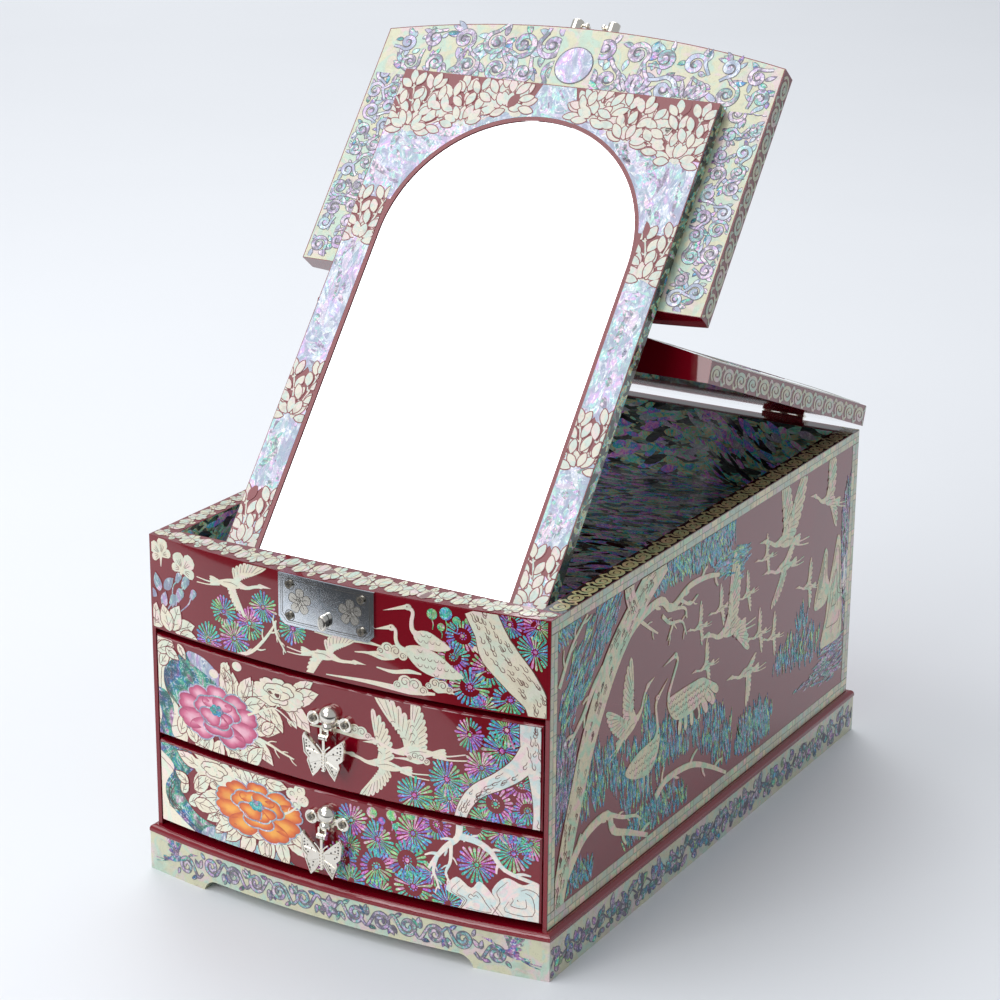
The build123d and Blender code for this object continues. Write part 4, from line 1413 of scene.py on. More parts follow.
@dataclass(frozen=True)
class RestingCrane:
    """Crane on its feet, drawn from its neck, beak tip and body in millimetres."""

    neck: tuple[Point, ...]
    beak: Point
    body: tuple[Point, ...]
    tail: tuple[tuple[float, float, float, float], ...] = ()
    legs: tuple[tuple[Point, ...], ...] = ()

    def draw(self, pen: Pen, shell: Shell = Shell.CREAM) -> None:
        """Lays tail, legs, body, neck and head.

        Args:
            pen: The pen.
            shell: Finish.
        """
        for leg in self.legs:
            pen.line(leg, (1.3, 0.8, 0.7), shell, 2)
        for k, (x, y, length, angle) in enumerate(self.tail):
            plume = pen.at(x, y, angle)
            outline = leaf_outline(length, length * 0.3, 0.06, True)
            plume.edged(outline, 0.35, Shell.LINE, shell, 3 + 0.3 * k, 3.2 + 0.3 * k)
        pen.blob(list(self.body), shell, 8)
        head = self.neck[0]
        way = 1 if self.beak[0] > head[0] else -1
        pen.line(self.neck, (1.9, 1.6, 1.8, 2.2, 4.0), shell, 8)
        pen.shape(ellipse(*head, 1.8, 1.4, 12), shell, 9)
        root = head[0] + way * 0.8
        pen.shape([(root, head[1] + 1.1), self.beak, (root, head[1] - 1.0)], shell, 8)
        pen.shape(ellipse(head[0] + way * 0.3, head[1] + 0.2, 0.35, 0.35, 6), Shell.LINE, 11)
        self._feathers(pen)

    def _feathers(self, pen: Pen) -> None:
        """Engraves rows of feathers on the body.

        Args:
            pen: The pen.
        """
        p = np.array(self.body)
        (x0, y0), (x1, y1) = p.min(0), p.max(0)
        rows = max(3, int((y1 - y0) / 3.0))
        across = max(6, int((x1 - x0) / 3.0))
        for row in range(rows):
            for k in range(across):
                x = x0 + (x1 - x0) * (k + 0.5 * (row % 2) + 0.4) / across
                y = y1 - (y1 - y0) * (row + 0.5) / rows
                if inside((x, y - 1.4), self.body) and inside((x, y + 0.8), self.body):
                    pen.cut([(x - 1.1, y), (x - 0.3, y - 1.1), (x + 0.8, y - 1.0), (x + 1.2, y)], 0.24, 10)


def petal_outline(length: float, width: float, base: float = 0.16) -> Outline:
    """Broad petal from the origin along +u, its end softly notched.

    Args:
        length: Length of the petal.
        width: Width of the petal.
        base: Half width at the root, as a share of the width.

    Returns:
        The closed outline.
    """
    half = [(0.0, base), (0.22, 0.36), (0.5, 0.51), (0.74, 0.5), (0.92, 0.37), (0.98, 0.17)]
    low = [(t * length, -w * width) for t, w in half]
    up = [(t * length, w * width) for t, w in half]
    return curve([*low, (0.94 * length, 0.0), *up[::-1]], 3, True)


@dataclass(frozen=True)
class Peony:
    """Open peony seen from the front; each ring is angles, start, length and width."""

    shell: Shell
    edge: Shell
    heart: Shell
    rim: float = 0.75
    rings: tuple[tuple[tuple[float, ...], float, float, float], ...] = (
        ((90, 46, 134, 8, 172, -28, 208, -62, 242), 0.30, 0.70, 0.56),
        ((-90, 24, 156, 66, 114), 0.10, 0.52, 0.58),
        ((-44, 224, -90), -0.02, 0.40, 0.5),
    )

    def draw(self, pen: Pen, rx: float, ry: float, level: float = 3) -> None:
        """Lays the petals from the outer ring to the heart.

        Args:
            pen: Pen at the middle.
            rx: Half width.
            ry: Half height.
            level: How many pieces lie under it.
        """
        for ring, (angles, start, length, width) in enumerate(self.rings):
            for i, angle in enumerate(angles):
                rad = math.radians(angle + pen.chance(-4, 4))
                grow = pen.chance(0.93, 1.05) * (1 - 0.16 * math.sin(rad))
                for extra, finish, lift in ((self.rim / pen.size, self.edge, 0), (0.0, self.shell, 1)):
                    outline = []
                    for px, py in petal_outline(length * grow, width * grow):
                        px += start
                        u = (px * math.cos(rad) - py * math.sin(rad)) * rx
                        v = (px * math.sin(rad) + py * math.cos(rad) + 0.1) * ry
                        outline.append((u, v))
                    self._lay(pen, outline, extra, finish, level + 3 * ring + i % 2 + lift)
        for i in range(6):
            a = 2 * math.pi * i / 6
            bud = ellipse(0.1 * rx * math.cos(a), (0.1 * math.sin(a) + 0.2) * ry, 0.075 * rx, 0.1 * ry, 8)
            pen.shape(bud, self.heart, level + 9 + i % 2, 0.05 * i)

    @staticmethod
    def _lay(pen: Pen, outline: Outline, extra: float, finish: Shell, level: float) -> None:
        """Lays one petal, or the edge below one.

        Args:
            pen: Pen at the middle.
            outline: The petal's outline.
            extra: How far an edge shows all round, or 0 for the petal itself.
            finish: Finish.
            level: How many pieces lie under it.
        """
        if extra:
            pen.shape(grown(outline, extra), finish, level)
        else:
            pen.fan(outline, finish, level)


def leafage(
    pen: Pen, x: float, y: float, rx: float, ry: float, start: float, end: float, count: int,
) -> None:
    """Toothed leaves fanned out from under a flower.

    Args:
        pen: The pen.
        x: Middle of the flower.
        y: Middle of the flower.
        rx: Half width of the ring they spring from.
        ry: Half height of that ring.
        start: First direction in degrees.
        end: Last direction.
        count: Leaves.
    """
    for i in range(count):
        angle = start + (end - start) * (i + pen.chance(0.2, 0.8)) / count
        rad = math.radians(angle)
        length = pen.chance(13, 17)
        foot = x + rx * math.cos(rad), y + ry * math.sin(rad)
        pen.leaf(*foot, length, length * pen.chance(0.46, 0.56), angle + pen.chance(-34, 34), Shell.CREAM, 2)


def butterfly(pen: Pen, shell: Shell = Shell.CREAM) -> None:
    """Butterfly about two units across with four round wings.

    Args:
        pen: Pen at its middle.
        shell: Finish.
    """
    for angle, length, width in ((58, 1.15, 0.95), (124, 1.05, 0.9), (-4, 0.9, 0.62), (186, 0.8, 0.55)):
        wing_pen = pen.at(0.05 * math.cos(math.radians(angle)), 0.05, angle)
        wing_pen.shape(leaf_outline(length, width, 0.04, True), shell, 1)
        for reach in (-0.16, 0.0, 0.18):
            wing_pen.cut([(0.2, reach * 0.3), (length * 0.6, reach)], 0.22, 3)
    pen.line([(-0.25, -0.75), (-0.02, -0.1), (0.1, 0.3)], (0.05, 0.24, 0.12), shell, 2)
    for side in (-1, 1):
        feeler = [(0.1, 0.3), (0.14 + 0.2 * side, 0.75), (0.2 + 0.5 * side, 1.0)]
        pen.line(feeler, (0.07, 0.05, 0.05), shell, 2)


def cloud(pen: Pen, x: float, y: float, size: float, tail: float) -> None:
    """Bank of cloud: round puffs with engraved curls over a long tapering foot.

    Args:
        pen: The pen.
        x: Middle of the bank.
        y: Its foot.
        size: Radius of the largest puff.
        tail: How far the foot runs past the puffs, negative to the left.
    """
    foot = [
        (x + tail, y - 0.2 * size), (x + tail * 0.5, y + 0.1 * size), (x, y),
        (x - tail * 0.3, y + 0.2 * size),
    ]
    pen.line(foot, (size * 0.12, size * 0.5, size * 0.9, size * 0.3), Shell.CREAM, 1)
    for dx, dy, r, way in (
        (-1.5, 0.5, 0.62, 1), (-0.5, 1.1, 0.95, -1), (0.8, 0.9, 1.0, 1), (1.9, 0.35, 0.7, -1),
    ):
        cx, cy, radius = x + dx * size, y + dy * size, r * size
        pen.shape(ellipse(cx, cy, radius, radius * 0.86, 16), Shell.CREAM, 2)
        pen.cut(spiral(cx, cy, radius * 0.72, 200 if way > 0 else -20, -1.3 * way, 0.25), 0.3, 4)


def twig(
    pen: Pen, points: Sequence[Point], width: float, side: float = 4.0, shell: Shell = Shell.CREAM,
    gap: int = 1,
) -> None:
    """Branch with short side twigs.

    Args:
        pen: The pen.
        points: Its line.
        width: Its width where it begins.
        side: Length of the side twigs, or 0 for none.
        shell: Finish.
        gap: Points between two side twigs.
    """
    pen.line(points, (width, width * 0.75, width * 0.4), shell, 8)
    if not side:
        return
    line = curve(points, 3)
    way = 1
    for i in range(2, len(line) - 1, gap + 1):
        (x0, y0), (x1, y1) = line[i - 1], line[i]
        a = math.degrees(math.atan2(y1 - y0, x1 - x0)) + way * pen.chance(35, 60)
        reach = side * pen.chance(0.7, 1.2)
        rad = math.radians(a)
        mid = x1 + reach * 0.5 * math.cos(rad), y1 + reach * 0.5 * math.sin(rad)
        rad += math.radians(-way * 22)
        end = mid[0] + reach * 0.5 * math.cos(rad), mid[1] + reach * 0.5 * math.sin(rad)
        pen.line([(x1, y1), mid, end], (width * 0.5, width * 0.36, width * 0.2), shell, 7)
        way = -way


def trunk(
    pen: Pen, points: Sequence[Point], widths: Sequence[float], shell: Shell = Shell.CREAM, marks: int = 45,
) -> None:
    """Trunk with engraved bark.

    Args:
        pen: The pen.
        points: Its line.
        widths: Its widths along the line.
        shell: Finish.
        marks: Engraved bark marks.
    """
    pen.line(points, [w + 0.9 for w in widths], Shell.LINE, 3.6)
    pen.line(points, widths, shell, 9)
    line = np.array(curve(points, 8))
    for _ in range(marks):
        t = pen.chance(0.03, 0.97)
        i = min(len(line) - 2, int(t * (len(line) - 1)))
        step = line[i + 1] - line[i]
        angle = math.degrees(math.atan2(step[1], step[0]))
        width = float(np.interp(t, np.linspace(0, 1, len(widths)), widths))
        off = pen.chance(-0.36, 0.36) * width
        mark = pen.at(line[i][0], line[i][1], angle)
        length = pen.chance(1.3, 2.7)
        hook = pen.chance(0.5, 0.9)
        path = [
            (-length, off), (-length * 0.3, off + hook * 0.5), (length * 0.5, off), (length, off + hook),
            (length * 0.6, off + hook * 1.9), (0, off + hook * 1.7),
        ]
        mark.cut(path, 0.3, 11)


def rock(
    pen: Pen, points: Sequence[Point], shell: Shell = Shell.CREAM, lines: int = 3, level: float = 1,
) -> None:
    """Rock with engraved contours.

    Args:
        pen: The pen.
        points: Its outline.
        shell: Finish.
        lines: Contours.
        level: How many pieces lie under it.
    """
    pen.blob(points, shell, level)
    p = np.array(points)
    middle = p.mean(0)
    for i in range(lines):
        share = 0.82 - 0.2 * i
        start = pen.inlay.random.randrange(len(p))
        ring = np.roll(p, -start, axis=0)[: max(3, int(len(p) * 0.7))]
        contour = middle + (ring - middle) * share
        pen.cut([tuple(q) for q in contour], 0.3, level + 2)


def berries(pen: Pen, spots: Sequence[tuple[float, float, float]]) -> None:
    """Round berries with short stems.

    Args:
        pen: The pen.
        spots: Centre and radius of each.
    """
    for x, y, r in spots:
        pen.shape(ellipse(x, y, r, r, 12), Shell.ROSE, 2)
        pen.line(
            [(x, y - r), (x + 0.6, y - r * 1.8), (x + 0.3, y - r * 2.8)], (0.5, 0.4, 0.3), Shell.ROSE, 1,
        )


def inside(point: Point, outline: Sequence[Point]) -> bool:
    """Whether a point lies in an outline.

    Args:
        point: The point.
        outline: The outline.

    Returns:
        True when it lies inside.
    """
    x, y = point
    odd = False
    for (x0, y0), (x1, y1) in zip(outline, [*outline[1:], outline[0]]):
        if (y0 > y) != (y1 > y) and x < (x1 - x0) * (y - y0) / (y1 - y0) + x0:
            odd = not odd
    return odd


def tufts(
    pen: Pen, region: Sequence[Point], count: int, length: float, lean: float, shell: Shell = Shell.NEEDLE,
    spread: float = 22.0,
) -> None:
    """Short upright or leaning strokes that fill a region.

    Args:
        pen: The pen.
        region: Its outline.
        count: Strokes tried.
        length: Length of a stroke.
        lean: Direction in degrees.
        shell: Finish.
        spread: How far directions stray.
    """
    p = np.array(region)
    (x0, y0), (x1, y1) = p.min(0), p.max(0)
    for i in range(count):
        x, y = pen.chance(x0, x1), pen.chance(y0, y1)
        if not inside((x, y), region):
            continue
        blade = pen.at(x, y, lean + pen.chance(-spread, spread))
        reach = length * pen.chance(0.6, 1.3)
        tint = 0.5 + 0.4 * math.sin(x * 0.11 + 1.3 * math.sin(y * 0.12)) + pen.chance(-0.13, 0.13)
        blade.shape(leaf_outline(reach, pen.chance(0.8, 1.6), 0.05), shell, i % 3, tint % 1.0)


def bricks(
    inlay: Inlay, u0: float, u1: float, v0: float, v1: float, rows: int = 2, length: float = 6.4,
    gap: float = 0.42,
) -> None:
    """Band of staggered tiles over a darker ground.

    Args:
        inlay: The inlay.
        u0: Lowest u.
        u1: Highest u.
        v0: Lowest v.
        v1: Highest v.
        rows: Rows of tiles.
        length: Length of a tile.
        gap: Joint between two tiles.
    """
    inlay.lay(box_outline(u0, u1, v0, v1), Shell.MORTAR, -1)
    upright = (v1 - v0) > (u1 - u0)
    a0, a1, b0, b1 = (v0, v1, u0, u1) if upright else (u0, u1, v0, v1)
    height = (b1 - b0) / rows
    for row in range(rows):
        start = a0 - (row % 2) * length / 2
        index = 0
        while start < a1:
            share = (1.0, 0.5, 1.5)[index % 3]
            end = start + length * share
            s, e = max(start, a0) + gap / 2, min(end, a1) - gap / 2
            if e - s > 0.6:
                low, high = b0 + row * height + gap / 2, b0 + (row + 1) * height - gap / 2
                spots = (low, high, s, e) if upright else (s, e, low, high)
                inlay.lay(box_outline(*spots), Shell.VEIL if inlay.random.random() < 0.6 else Shell.GREEN)
            start = end
            index += 1


def scroll_band(
    pen: Pen, start: float, end: float, middle: float, height: float, shell: Shell, pitch: float = 1.5,
) -> None:
    """Running band of curls that all but fill it, along +u.

    Args:
        pen: The pen.
        start: First u.
        end: Last u.
        middle: V of its middle.
        height: Height of the band.
        shell: Finish of the curls.
        pitch: Length of one curl in band heights.
    """
    count = max(1, round((end - start) / (height * pitch)))
    step = (end - start) / count
    for i in range(count):
        x = start + (i + 0.5) * step
        turns = spiral(0, 0, 0.43, 232, -1.75, 0.16)
        path = [(x + px * step * 1.04, middle + py * height) for px, py in turns]
        w = height * 0.16
        pen.line(path, (w * 0.8, w * 1.3, w * 1.1, w * 0.9), shell, 1)
        pen.shape(ellipse(x, middle, step * 0.07, height * 0.08, 8), shell, 1)
        for way in (-1, 1):
            tip = [
                (x + step * 0.36, middle + way * height * 0.2),
                (x + step * 0.5, middle + way * height * 0.44),
                (x + step * 0.66, middle + way * height * 0.3),
            ]
            pen.line(tip, (w * 0.4, w * 1.2, w * 0.5), shell, 1)


def leafy_band(pen: Pen, start: float, end: float, middle: float, height: float, shell: Shell) -> None:
    """Waving stem with lobed leaves, blossoms and curls on both its sides.

    Args:
        pen: The pen.
        start: First u.
        end: Last u.
        middle: V of its middle.
        height: Height of the band.
        shell: Finish.
    """
    count = max(2, round((end - start) / (height * 0.86)))
    step = (end - start) / count
    points = 2 * count + 1
    stem = [(start + i * step / 2, middle + (0.2, 0.0, -0.2, 0.0)[i % 4] * height) for i in range(points)]
    w = height * 0.1
    pen.line(stem, (w, w), shell, 1, per=3)
    for i in range(count):
        x = start + (i + 0.5) * step
        way = 1 if i % 2 else -1
        if i % 5 == 2:
            for k in range(7):
                petal = pen.at(x, middle, 360 * k / 7 + 20)
                outline = leaf_outline(height * 0.48, height * 0.3, 0, True)
                petal.edged(outline, 0.3, Shell.LINE, shell, 2 + 0.4 * k, 2.2 + 0.4 * k)
            continue
        lobes = ((180, 0.36, 0.3), (0, 0.36, 0.3), (136, 0.46, 0.36), (44, 0.46, 0.36), (90, 0.46, 0.36))
        for k, (angle, length, width) in enumerate(lobes):
            leaf = pen.at(x, middle - way * height * 0.06, way * angle)
            outline = leaf_outline(height * length, height * width, 0.05, True)
            leaf.edged(outline, 0.3, Shell.LINE, shell, 2 + 0.4 * k, 2.2 + 0.4 * k)
        ring = spiral(x, middle - way * height * 0.3, height * 0.17, 90 * way, 1.4 * way, 0.2)
        pen.line(ring, (w * 0.7, w, w * 0.7), shell, 1, per=2)


def arabesque(pen: Pen, start: float, end: float, middle: float, height: float, rows: int = 2) -> None:
    """Dense scrolls with dark engraved edges and little leaves.

    Args:
        pen: The pen.
        start: First u.
        end: Last u.
        middle: V of its middle.
        height: Height of the band.
        rows: Rows of scrolls.
    """
    pitch = height / rows
    count = max(1, round((end - start) / (pitch * 1.04)))
    step = (end - start) / count
    for i in range(count):
        for row in range(rows):
            x = start + (i + 0.5 + 0.3 * (row % 2)) * step + pen.chance(-1.4, 1.4)
            y = middle + (row + 0.5 - rows / 2) * pitch + pen.chance(-1.2, 1.2)
            way = 1 if (i + row) % 2 else -1
            r = pitch * pen.chance(0.32, 0.48)
            path = spiral(x, y, r, pen.chance(0, 360), way * 1.3, 0.24)
            lead = path[0]
            away = math.atan2(lead[1] - y, lead[0] - x) - way * 0.9
            path.insert(0, (lead[0] + r * 0.9 * math.cos(away), lead[1] + r * 0.9 * math.sin(away)))
            w = pitch * 0.17
            for k in range(6):
                angle = pen.chance(0, 360)
                rad = math.radians(angle)
                leaf = pen.at(x + r * 0.9 * math.cos(rad), y + r * 0.9 * math.sin(rad), angle + 50 * way)
                outline = leaf_outline(r * pen.chance(0.7, 1.2), r * 0.42, 0.14)
                finish = (Shell.SCROLL, Shell.STREAM, Shell.LILAC)[k % 3]
                leaf.edged(outline, 0.34, Shell.SMOKE, finish, 0, 1 + 0.2 * k)
            body = (Shell.SCROLL, Shell.LILAC, Shell.SCROLL)[pen.inlay.random.randrange(3)]
            for finish, level, grow in ((Shell.SMOKE, 2.5, 0.7), (body, 3.5, 0.0)):
                widths = [w * share + grow for share in (0.5, 1.0, 0.9, 0.7)]
                pen.line(path, widths, finish, level, per=3)
            pen.shape(ellipse(x, y, w, w, 8), Shell.SMOKE, 2)
            pen.shape(ellipse(x, y, w * 0.6, w * 0.6, 8), Shell.SCROLL, 3)


def spray(
    pen: Pen, x: float, y: float, angle: float, length: float, pairs: int = 4, leaf: float = 9.0,
    shell: Shell = Shell.SPRAY,
) -> None:
    """Stem with pairs of oval leaves.

    Args:
        pen: The pen.
        x: Foot of the stem.
        y: Foot of the stem.
        angle: Direction in degrees.
        length: Length of the stem.
        pairs: Pairs of leaves.
        leaf: Length of a leaf.
        shell: Finish.
    """
    stem = pen.at(x, y, angle)
    stem.line([(0, 0), (length * 0.5, length * 0.04), (length, 0)], (1.2, 0.9, 0.6), shell, 1)
    ends = [((i + 0.3) / pairs * length, side) for i in range(pairs) for side in (-1, 1)]
    for k, (t, side) in enumerate([*ends, (length * 0.92, 0)]):
        fork = stem.at(t, 0, side * stem.chance(34, 54))
        gap = leaf * stem.chance(0.16, 0.34) if side else 0.0
        if side:
            fork.line([(0, 0), (gap * 0.5, 0.1), (gap + 1, 0)], (0.8, 0.7, 0.6), shell, 1)
        oval = oval_leaf(leaf * stem.chance(0.88, 1.1), leaf * stem.chance(0.46, 0.55))
        leafy = fork.at(gap, 0, -side * 10)
        rise = 2 + 0.3 * ((pen.inlay.laid + k) % 10)
        leafy.shape(grown(oval, 0.5), Shell.RED, rise, 0.5)
        leafy.shape(oval, shell, rise + 0.4)


# Sub-assemblies


def dress(nodes: Sequence[str], shell: Shell) -> None:
    """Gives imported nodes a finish.

    Args:
        nodes: Names of the nodes.
        shell: The finish.
    """
    for name in nodes:
        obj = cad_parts[name]
        obj.data.materials.clear()
        obj.data.materials.append(shell.value.material())
        LOG.info("%s: %s", name, shell.value.name)


@dataclass
class FixedPanel:
    """The fixed rail across the top of the front."""

    half_w: float = 103.6
    low: float = 122.8
    high: float = 166.6

    def build(self) -> None:
        """Lays its picture."""
        face = Bowed("case", 0.0, cell=5.0)
        inlay = Inlay(face, (-self.half_w, self.half_w, self.low, self.high), 11)
        inlay.skin(Shell.RED)
        pen = Pen(inlay)
        self.left_garden(pen)
        self.birds(pen)
        self.pines(pen)
        inlay.build("rail")

    def left_garden(self, pen: Pen) -> None:
        """Butterflies, a lilac sprig and leaves at the left.

        Args:
            pen: The pen of the face.
        """
        butterfly(pen.at(-97.6, 158.6, 18, 7.0))
        butterfly(pen.at(-84.0, 154.4, -12, 7.8))
        for x, y, length, angle in (
            (-99, 141, 9, 100), (-96, 143, 9, 40), (-101, 138, 8, 150), (-97, 134, 8, 70),
        ):
            pen.leaf(x, y, length, length * 0.55, angle, Shell.LILAC, 2, 0.1, -1)
        for x, y, r in ((-88, 139, 3.2), (-84, 146, 3.0), (-79, 142, 2.4), (-88, 148, 2.4), (-92, 136, 2.8)):
            pen.at(x, y, 60).shape(leaf_outline(r * 2.2, r * 1.5, 0, True), Shell.LILAC, 2)
            pen.line([(x, y), (x - 2.5, y - 4), (-91, 130)], (0.7, 0.6, 0.5), Shell.LILAC, 1)
        for x, y, length, angle in (
            (-92, 124, 14, 62), (-90, 124, 14, 18), (-93, 123, 13, 104), (-98, 124, 12, 146),
            (-86, 123, 11, -8), (-103, 123, 12, 78),
        ):
            pen.leaf(x, y, length, length * 0.62, angle, Shell.CREAM, 2)

    def birds(self, pen: Pen) -> None:
        """Two cranes on the wing, two at rest, and clouds.

        Args:
            pen: The pen of the face.
        """
        FlyingCrane((28, 5.2), (-72, 4.0)).draw(pen.at(-70.1, 154.3, 2, 3.78))
        FlyingCrane((35, 5.4), (-128, 4.4), -0.4).draw(pen.at(-18.4, 132.6, -1, 3.6))
        for path, width in (
            (((-8, 142.6), (6, 142.2), (18, 143.2), (27, 142.6)), 1.5),
            (((13, 137.6), (20, 138.4), (27, 137.2), (33, 138)), 1.3),
            (((24, 132.6), (32, 132.0), (40, 133.6), (46, 133.4)), 1.7),
        ):
            pen.line(path, (width * 0.3, width, width * 1.2, width * 0.4), Shell.CREAM, 1)
        cloud(pen, 31.0, 139.0, 3.2, -13.0)
        cloud(pen, 40.0, 124.6, 3.6, -42.0)
        cloud(pen, 54.0, 127.4, 2.8, 9.0)
        RestingCrane(
            ((31.6, 152.4), (33.6, 151.4), (33.8, 147.0), (36.0, 143.8), (43.0, 141.2)), (23.0, 150.2),
            ((38, 144), (45, 146.4), (54, 144), (62, 138.6), (66, 135), (54, 133.2), (44, 136.4)),
        ).draw(pen)
        RestingCrane(
            ((39.6, 163.2), (42.0, 161.4), (41.4, 156.6), (42.2, 152.6), (47.0, 150.4)), (27.4, 159.6),
            ((43, 152.4), (49, 153.6), (56, 150.4), (60, 147.4), (54, 145.4), (47, 146.2), (43, 149)),
        ).draw(pen)

    def pines(self, pen: Pen) -> None:
        """Tufts, berries, a dead branch and the trunk at the right.

        Args:
            pen: The pen of the face.
        """
        twig(pen, ((-51.5, 121.8), (-43, 125.4), (-36, 132.3), (-31, 139), (-28.6, 143.4)), 1.9, 5.5)
        twig(pen, ((-29.5, 143), (-28.8, 137.5), (-26.5, 133.6), (-23.6, 129.2)), 1.5, 3.5)
        grove(pen, (
            (-59.1, 140.9, 7.6, 0.0), (-43.9, 138.7, 8.2, 0.35), (-36, 148, 7.8, 0.05),
            (-53.1, 129.4, 9.0, 0.45), (-68.6, 124.6, 9.2, 0.4), (-19.6, 141.6, 8.0, 0.02),
            (65.4, 154.4, 8.6, 0.1), (61.1, 144.0, 8.2, 0.45), (77.5, 141.2, 8.4, 0.2),
            (69, 131.6, 9.6, 0.1), (87.6, 128.6, 9.4, 0.02), (86.9, 163, 7.2, 0.15), (99.7, 163.6, 7.4, 0.3),
            (98.3, 152.2, 9.0, 0.05), (75.4, 122.6, 7.4, 0.5), (57, 133, 5.5, 0.5),
        ))
        berries(pen, (
            (51.1, 162.0, 2.5), (57.6, 163.2, 3.0), (55.4, 156.8, 1.8), (62.6, 160.9, 1.9),
            (68.0, 161.5, 1.6),
        ))
        trunk(
            pen, ((73, 168), (78, 158), (82, 149), (92, 138), (99, 129), (101, 120)),
            (14, 14, 17, 15, 11, 9),
        )
        pen.line([(84, 151), (75, 149), (70.5, 150)], (7, 4, 1.5), Shell.CREAM, 3)


@dataclass
class Drawer:
    """One drawer front with its picture."""

    name: str
    low: float
    high: float
    seed: int
    half_w: float = 102.4
    inset: float = 0.9
    paint: Callable[[Pen], None] = lambda pen: None

    def build(self) -> None:
        """Lays the picture and dresses the boards."""
        face = Bowed(f"{self.name}_drawer", 0.0, cell=5.0)
        edge = self.inset
        window = (-self.half_w + edge, self.half_w - edge, self.low + edge, self.high - edge)
        inlay = Inlay(face, window, self.seed)
        inlay.skin(Shell.RED)
        self.paint(Pen(inlay))
        inlay.build(f"{self.name}_drawer")
        sides = [f"{self.name}_drawer_{part}" for part in ("left", "right", "back", "bottom")]
        dress(sides, Shell.WOOD)
        dress([f"{self.name}_drawer_front"], Shell.RED)
        dress([f"{self.name}_drawer_lining"], Shell.FELT)


def upper_picture(pen: Pen) -> None:
    """Pink peony, a pair of cranes and pines.

    Args:
        pen: The pen of the face.
    """
    rock(
        pen,
        (
            (-106, 118), (-92, 118), (-93, 108), (-98, 100), (-96, 92), (-88, 86), (-84, 78), (-86, 68),
            (-106, 68),
        ),
        Shell.CREAM, 4,
    )
    pen.blob(
        (
            (-97.4, 103.7), (-90.3, 110.9), (-83, 115), (-73, 114.4), (-64.6, 109.4), (-54, 105), (-50, 98),
            (-62, 92), (-76, 90), (-90, 88), (-97, 95),
        ),
        Shell.STREAM, 2,
    )
    pen.blob(
        ((-82, 116), (-72, 115), (-62, 109), (-54, 104), (-60, 103), (-70, 107), (-80, 111)), Shell.LILAC, 3,
    )
    pen.blob(
        ((-104, 92), (-96, 92), (-92, 84), (-94, 74), (-92, 69), (-103, 69), (-100, 80)), Shell.STREAM, 3,
    )
    for x, y, length, angle, width in (
        (-102, 112, 12, 20, 6), (-100, 105, 11, 50, 5.5), (-96, 114, 9, -30, 5), (-88, 118, 8, -60, 4),
        (-60, 104, 13, 75, 7), (-50, 99, 15, 62, 8.5), (-56, 105, 10, 120, 6), (-48, 98, 13, 15, 7),
        (-40, 101, 10, -50, 6), (-31, 100, 10, -20, 5), (-33, 101, 13, -62, 6), (-30, 103, 8, 30, 4),
        (-38, 88, 9, 30, 6), (-52, 72, 17, 18, 8), (-46, 70, 13, 45, 7), (-58, 70, 12, 60, 6),
        (-68, 70, 12, 165, 6), (-78, 72, 11, 120, 6), (-60, 75, 12, -20, 6), (-88, 74, 11, 70, 6),
    ):
        pen.leaf(x, y, length, width, angle, Shell.CREAM, 3)
    leafage(pen, -62, 88, 19, 11, -126, 84, 15)
    leafage(pen, -30, 108, 9, 4, -150, 40, 6)
    for x, y in ((-66, 109), (-59, 114), (-52, 116)):
        pen.shape(ellipse(x, y, 2.8, 2.2), Shell.CREAM, 3)
    twig(pen, ((-40, 84), (-33, 82.5), (-27, 80.6), (-20, 78.8)), 1.4, 5)
    twig(pen, ((-46, 94), (-38, 98), (-30, 101), (-20, 96)), 1.2, 4)
    Peony(Shell.CREAM, Shell.LINE, Shell.CREAM, 0.36).draw(pen.at(-28.1, 108.4), 14, 7.5)
    Peony(Shell.PINK, Shell.LILAC, Shell.NEEDLE).draw(pen.at(-64.6, 88.4), 24, 15, 5)
    cloud(pen, 14.0, 98.0, 2.8, -30.0)
    cloud(pen, 44.0, 92.0, 2.4, -12.0)
    FlyingCrane((62, 6.4), (100, 5.4), 0.5).draw(pen.at(61.5, 99.2, 190, 4.35, True))
    FlyingCrane((80, 6.0), (-58, 5.4), 0.0).draw(pen.at(44.8, 87.2, 181, 3.85, True))
    grove(pen, (
        (69, 109.6, 8.0, 0.2), (84, 104.6, 10.2, 0.0), (86, 114.6, 9.0, 0.08), (74.7, 95.1, 8.4, 0.45),
        (58.3, 86.6, 9.6, 0.04), (42.6, 75.9, 9.4, 0.02), (59.5, 77.6, 7.6, 0.4), (81.1, 79.4, 9.6, 0.38),
        (92.6, 90.1, 8.2, 0.3), (95.8, 78.6, 7.6, 0.45), (54, 70, 6.0, 0.5), (76, 70.6, 7.2, 0.55),
        (90, 70.5, 6.6, 0.1), (70, 86, 6.4, 0.5),
    ))
    trunk(pen, ((98, 121), (98, 108), (101, 94), (103, 80), (102, 66)), (12, 11, 9, 9, 8), Shell.PEARL, 24)
    trunk(
        pen, ((98, 108), (92, 98), (83, 90.5), (73, 84), (67, 76), (64, 67)), (10, 9, 7, 6, 5), Shell.PEARL,
        24,
    )


